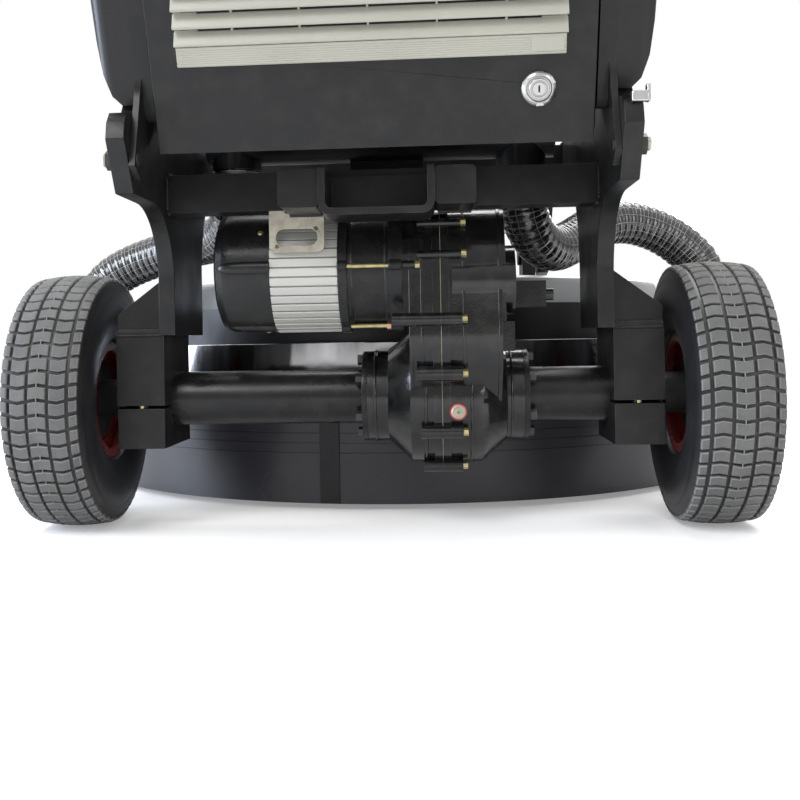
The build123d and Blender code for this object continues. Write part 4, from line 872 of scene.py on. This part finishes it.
def make_case_details():
    """Gasket round the seam, cast rims and ribs on the case halves, and the oil plug."""
    bm = bmesh.new()
    axle = at(0, 0, AXLE_Z)
    prism(bm, case_outline(2.5), SEAM_X0, SEAM_X1)
    turned(bm, [(SEAM_X0, 40), (SEAM_X0, 88.5), (SEAM_X1, 88.5), (SEAM_X1, 40)], axle,
           (1, 0, 0), 96)
    piece("case_gasket", bm, "chassis", "gasket", smooth=25)
    bm = bmesh.new()
    for x0, x1, grow in ((32.2, 36, 1.2), (46, 49, 0.8), (96, 99, 0.2), (138, 142.6, 0.6)):
        prism(bm, case_outline(grow), x0, x1)
    for x0, x1, r in ((-16, -12, 58.4), (48, 52, 86.4), (104, 108, 85.8), (155, 158, 58.4)):
        turned(bm, [(x0, 30), (x0, r), (x0 + 1, r + 1), (x1 - 1, r + 1), (x1, r), (x1, 30)],
               axle, (1, 0, 0), 72)
    for angle in (74, 110, 146, 182, 218):
        a = radians(angle)
        out = Vector((0, -cos(a), sin(a)))
        across = Vector((0, sin(a), cos(a))) * 0.0022
        for ends in (((2, 62), (34, 86)), ((118, 86), (150, 62))):
            corners = []
            for x, r in ends:
                foot = axle + Vector((x / 1000, 0, 0)) + out * (r - 8) / 1000
                top = axle + Vector((x / 1000, 0, 0)) + out * r / 1000
                corners += [foot - across, foot + across, top + across, top - across]
            block(bm, corners)
    piece("case_ribs", bm, "chassis", "cast_black", smooth=30, bevel=0.8)
    bm = bmesh.new()
    centre = at(89, -87.4, 149)
    turned(bm, [(0, 4), (0, 8.2), (1.2, 8.6), (4.4, 8.4), (5.2, 7.2), (5.2, 6.0), (4.0, 5.4),
                (4.2, 3.4), (5.6, 3.0), (5.6, 2.2), (1.4, 2.0), (1.4, 0.01)], centre, (0, -1, 0),
           48, closed=False)
    piece("oil_plug_body", bm, "chassis", "zinc", ("oil_plug",), smooth=30)
    bm = bmesh.new()
    turned(bm, [(0, 8.7), (0, 10.0), (1.0, 10.0), (1.4, 8.7)], centre, (0, -1, 0), 48)
    piece("oil_plug_ring", bm, "chassis", "signal_red", smooth=30)


# ---------------------------------------------------------------- frame details
BLOCK_REAR = 66.5                         # rear face of the axle clamps


def weld(bm, points, r=2.6):
    """Rippled bead along straight runs."""
    tube(bm, spaced(points, 0.0011), r, 8, 0.10, 0.0042)


def make_welds():
    """Beads where the frame's plates and tubes meet."""
    bm = bmesh.new()
    for side in (-1, 1):
        for x in (65, 111):
            weld(bm, [at(side * x, -127, 390), at(side * x, -127, 430)])
        weld(bm, [at(side * 68, -127, 388), at(side * 108, -127, 388)])
        weld(bm, [at(side * 256, -126.5, 396), at(side * 256, -126.5, 438)])
        weld(bm, [at(side * 255.5, -124, 440.5), at(side * 255.5, -88, 440.5)])
        weld(bm, [at(side * 255.5, -124, 394.5), at(side * 255.5, -88, 394.5)])
        weld(bm, [at(side * 277, -62, 258), at(side * 277, -62, 322)], 3.0)
        weld(bm, [at(side * 278, -62.5, 254.5), at(side * 339, -62.5, 254.5)])
        weld(bm, [at(side * 280, -BLOCK_REAR, 248), at(side * 340, -BLOCK_REAR, 248)], 1.6)
        weld(bm, [at(side * 255.5, 216, 524.5), at(side * 255.5, 264, 524.5)])
    piece("weld_beads", bm, "chassis", "frame_black", smooth=60)


def make_gap_details():
    """Terminal blocks and their screws in the dark gap under the door."""
    bm = bmesh.new()
    for x in (96, 104, 120, 129, 138, 147, 176, 186, 196):
        brick(bm, x, x + 5.5, 2, 9, 23, 29, cab)
    piece("terminal_blocks", bm, "chassis", "white_paint", smooth=25, bevel=0.5)
    bm = bmesh.new()
    for x in (98.7, 122.7, 140.7, 178.7, 188.7):
        centre = cab(x, 5.5, 23)
        turned(bm, [(0, 2.0), (1.2, 1.9), (1.6, 1.0), (1.6, 0.01)], centre, cab(x, 5.5, 22) - centre,
               14, closed=False)
    piece("terminal_screws", bm, "chassis", "brass", smooth=30)


# ---------------------------------------------------------------- cabinet top, handle and head
CONSOLE_V, CONTROL_W = 690, 110           # top of the console, and its row of controls
KNOB_X = 20


def make_controls():
    """Button collars, dial ring with ticks, and a small screen on the console."""
    up = cab(0, 1, 0) - cab(0, 0, 0)
    bm = bmesh.new()
    for x, r in ((140, 22), (-140, 16), (-80, 16)):
        turned(bm, [(0.1, 11.4), (0.1, r), (1.4, r), (2.6, r - 1.6), (2.6, 11.4)],
               cab(x, CONSOLE_V, CONTROL_W), up, 56)
    piece("button_collars", bm, "chassis", "bright_steel", smooth=30, bevel=0.25)
    bm = bmesh.new()
    turned(bm, [(0.1, 19), (0.1, 31), (0.9, 31), (0.9, 19)],
           cab(KNOB_X, CONSOLE_V, CONTROL_W), up, 72)
    piece("speed_dial", bm, "chassis", "panel_black", smooth=30)
    bm = bmesh.new()
    for k in range(11):
        a = radians(-135 + 27 * k)
        along, across = (sin(a), -cos(a)), (cos(a), sin(a))
        ends = [cab(KNOB_X + r * along[0] + s * across[0], CONSOLE_V + h,
                    CONTROL_W + r * along[1] + s * across[1])
                for h in (0.8, 1.3) for r, s in ((22, -0.5), (22, 0.5), (28, 0.5), (28, -0.5))]
        block(bm, ends)
    piece("speed_dial_ticks", bm, "chassis", "white_paint", smooth=30)
    bm = bmesh.new()
    for x0, x1, w0, w1 in ((-60, -53, 150, 226), (53, 60, 150, 226), (-53, 53, 150, 157),
                           (-53, 53, 219, 226)):
        brick(bm, x0, x1, CONSOLE_V, CONSOLE_V + 6, w0, w1, cab)
    piece("screen_bezel", bm, "chassis", "knob_black", smooth=30, bevel=1.0)
    bm = bmesh.new()
    brick(bm, -53, 53, CONSOLE_V + 0.2, CONSOLE_V + 2.6, 157, 219, cab)
    piece("screen_glass", bm, "chassis", "screen", smooth=30, bevel=0.3)


def make_grips():
    """Rubber grips with rounded rings and end collars."""
    low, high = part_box("handle_grips")
    y, z = (low.y + high.y) / 2, (low.z + high.z) / 2
    for name, side in (("grip_right", 1), ("grip_left", -1)):
        bm = bmesh.new()
        profile = [(0, 16.3), (0, 19.2), (1, 19.5), (6, 19.5), (7, 18.4)]
        for ring in range(12):
            s = 10 + ring * 9.3
            profile += [(s, 18.2), (s + 1.2, 19.2), (s + 4.6, 19.4), (s + 6.0, 18.2)]
        profile += [(123, 18.4), (124, 19.5), (129, 19.5), (130, 19.2), (130, 16.3)]
        turned(bm, profile, Vector((side * 0.060, y, z)), (side, 0, 0), 48)
        replaced = ("handle_grips",) if side > 0 else ()
        piece(name, bm, "handle", "grip_rubber", replaced, smooth=40)


HEAD_Y = 654
SKIRT_R, SKIRT_TOP = 558, 184


def make_head_details():
    """Skirt with its lines and overlap, bolts and screws of the covers, and hose clamps."""
    centre = at(0, HEAD_Y, 0)
    bm = bmesh.new()
    profile = [(8, SKIRT_R - 7), (8, SKIRT_R)]
    for z in (79, 93, 107):
        profile += [(z, SKIRT_R), (z + 0.3, 557.2), (z + 0.9, 557.2), (z + 1.2, SKIRT_R)]
    profile += [(SKIRT_TOP, SKIRT_R), (SKIRT_TOP, SKIRT_R - 7)]
    turned(bm, profile, centre, (0, 0, 1), 240)
    piece("skirt_band", bm, "head", "skirt_black", ("dust_skirt",), smooth=30)
    bm = bmesh.new()
    rings = []
    for z in (9, SKIRT_TOP):
        for r in (558.2, 560.2):
            row = [at(r * cos(radians(a)), HEAD_Y + r * sin(radians(a)), z)
                   for a in (259.4, 260.4, 261.4, 262.3)]
            rings.append(row if r < 559 else row[::-1])
    loft(bm, [rings[0] + rings[1], rings[2] + rings[3]], caps=True)
    piece("skirt_overlap", bm, "head", "panel_black", smooth=30, bevel=0.4)
    bm = bmesh.new()
    for count, radius, z, across, high, turn in ((18, 505, 288, 13, 7, 5), (12, 366, 332, 13, 7, 0),
                                                 (8, 160, 358, 19, 11, 22.5)):
        for k in range(count):
            a = radians(turn + 360 * k / count)
            spot = at(radius * cos(a), HEAD_Y + radius * sin(a), z)
            turned(bm, [(0, across * 0.3), (0, across * 0.86), (1.6, across * 0.86),
                        (1.6, across * 0.3)], spot, (0, 0, 1), 24)
            hexagon(bm, spot + Vector((0, 0, 0.0016)), (0, 0, 1), across, high, k)
    piece("head_bolts", bm, "head", "bright_steel", smooth=25, bevel=0.3)
    bm = bmesh.new()
    for y in (HEAD_Y - 44, HEAD_Y + 44):
        for z in (451, 519):
            start = at(211, y, z)
            turned(bm, [(0, 0.8), (0, 4.6), (2.2, 4.4), (3.2, 3.2), (3.2, 1.2), (1.6, 1.0),
                        (1.6, 0.01)], start, (1, 0, 0), 20, closed=False)
    piece("terminal_box_screws", bm, "head", "bright_steel", smooth=30)
    bm = bmesh.new()
    for side, (x, y, z) in ((1, RIGHT_HOSE[-1]), (-1, LEFT_HOSE[-1])):
        turned(bm, [(-15, 32.9), (-15, 34.6), (-3, 34.6), (-3, 32.9)], at(x, y, z), (0, 0, 1), 56)
        start = at(x + 30 * side, y - 18, z - 9)
        rod(bm, start, start + Vector((0.012 * side, -0.006, 0)), 3.6, 14)
    for route in (LEFT_HOSE, RIGHT_HOSE):
        turned(bm, [(2, 32.9), (2, 34.6), (14, 34.6), (14, 32.9)], at(*route[0]), (0, 0, 1), 56)
    piece("hose_clamps", bm, "head", "bright_steel", smooth=35, bevel=0.4)


# ---------------------------------------------------------------- CAD nodes that show
def dress():
    """Gives every CAD node that shows its material and slightly rounded edges."""
    slots = {part["node"]: part["material_slot"] for part in frame["record"]["subparts"]}
    soft = {"side_frames": 1.2, "axle_clamp_blocks": 1.0, "axle_clamp_caps": 1.0, "crossbars": 1.6,
            "cabinet_shell": 0.8, "cabinet_door": 0.8, "uprights": 1.2, "control_console": 1.0,
            "motor_bracket": 0.5, "gearcase_left": 1.0, "gearcase_right": 1.0,
            "head_drum": 1.5, "head_cover": 1.0, "main_motor": 0.8,
            "brass_fasteners": 0.3, "frame_bolts": 0.5, "handlebar": 0.6, "trim_band": 0.8,
            "suction_manifold": 0.8, "suction_elbows": 0.8, "motor_end_bell": 1.0,
            "motor_front_shell": 0.8, "axle_tubes": 0.8, "side_panels": 0.8, "door_hinges": 0.5,
            "inverter_unit": 1.5, "power_inlet": 0.8, "estop_button": 1.5, "start_button": 1.0,
            "stop_button": 1.0, "speed_knob": 1.0, "rim_left": 0.6, "rim_right": 0.6,
            "half_shaft_left": 0.5, "half_shaft_right": 0.5}
    for name, obj in NODES.items():
        obj.data.materials.clear()
        finish = {"trim_band": "band_chrome", "axle_tubes": "motor_black"}.get(name, slots[name])
        obj.data.materials.append(MATERIALS.get(finish) or TREAD)
        if name in soft and not obj.hide_render:
            joined = obj.modifiers.new("join", "WELD")
            joined.merge_threshold = 1e-5
            rounded = obj.modifiers.new("edges", "BEVEL")
            rounded.width = soft[name] / 1000
            rounded.segments = 2
            rounded.limit_method = "ANGLE"
            rounded.angle_limit = radians(40)
            weighted = obj.modifiers.new("normals", "WEIGHTED_NORMAL")
            weighted.keep_sharp = False


make_camera()
skin = hose_skin(RIB)
make_hose("hose_right", RIGHT_HOSE, skin)
make_hose("hose_left", LEFT_HOSE, skin)
make_studio()
make_tyre("tyre_right", 1, "wheel_right")
make_tyre("tyre_left", -1, "wheel_left")
make_valve("valve_right", 1, "wheel_right")
make_valve("valve_left", -1, "wheel_left")
make_louver()
make_lock()
make_stator()
make_motor_details()
make_case_heads()
make_case_details()
make_welds()
make_gap_details()
make_controls()
make_grips()
make_head_details()
dress()
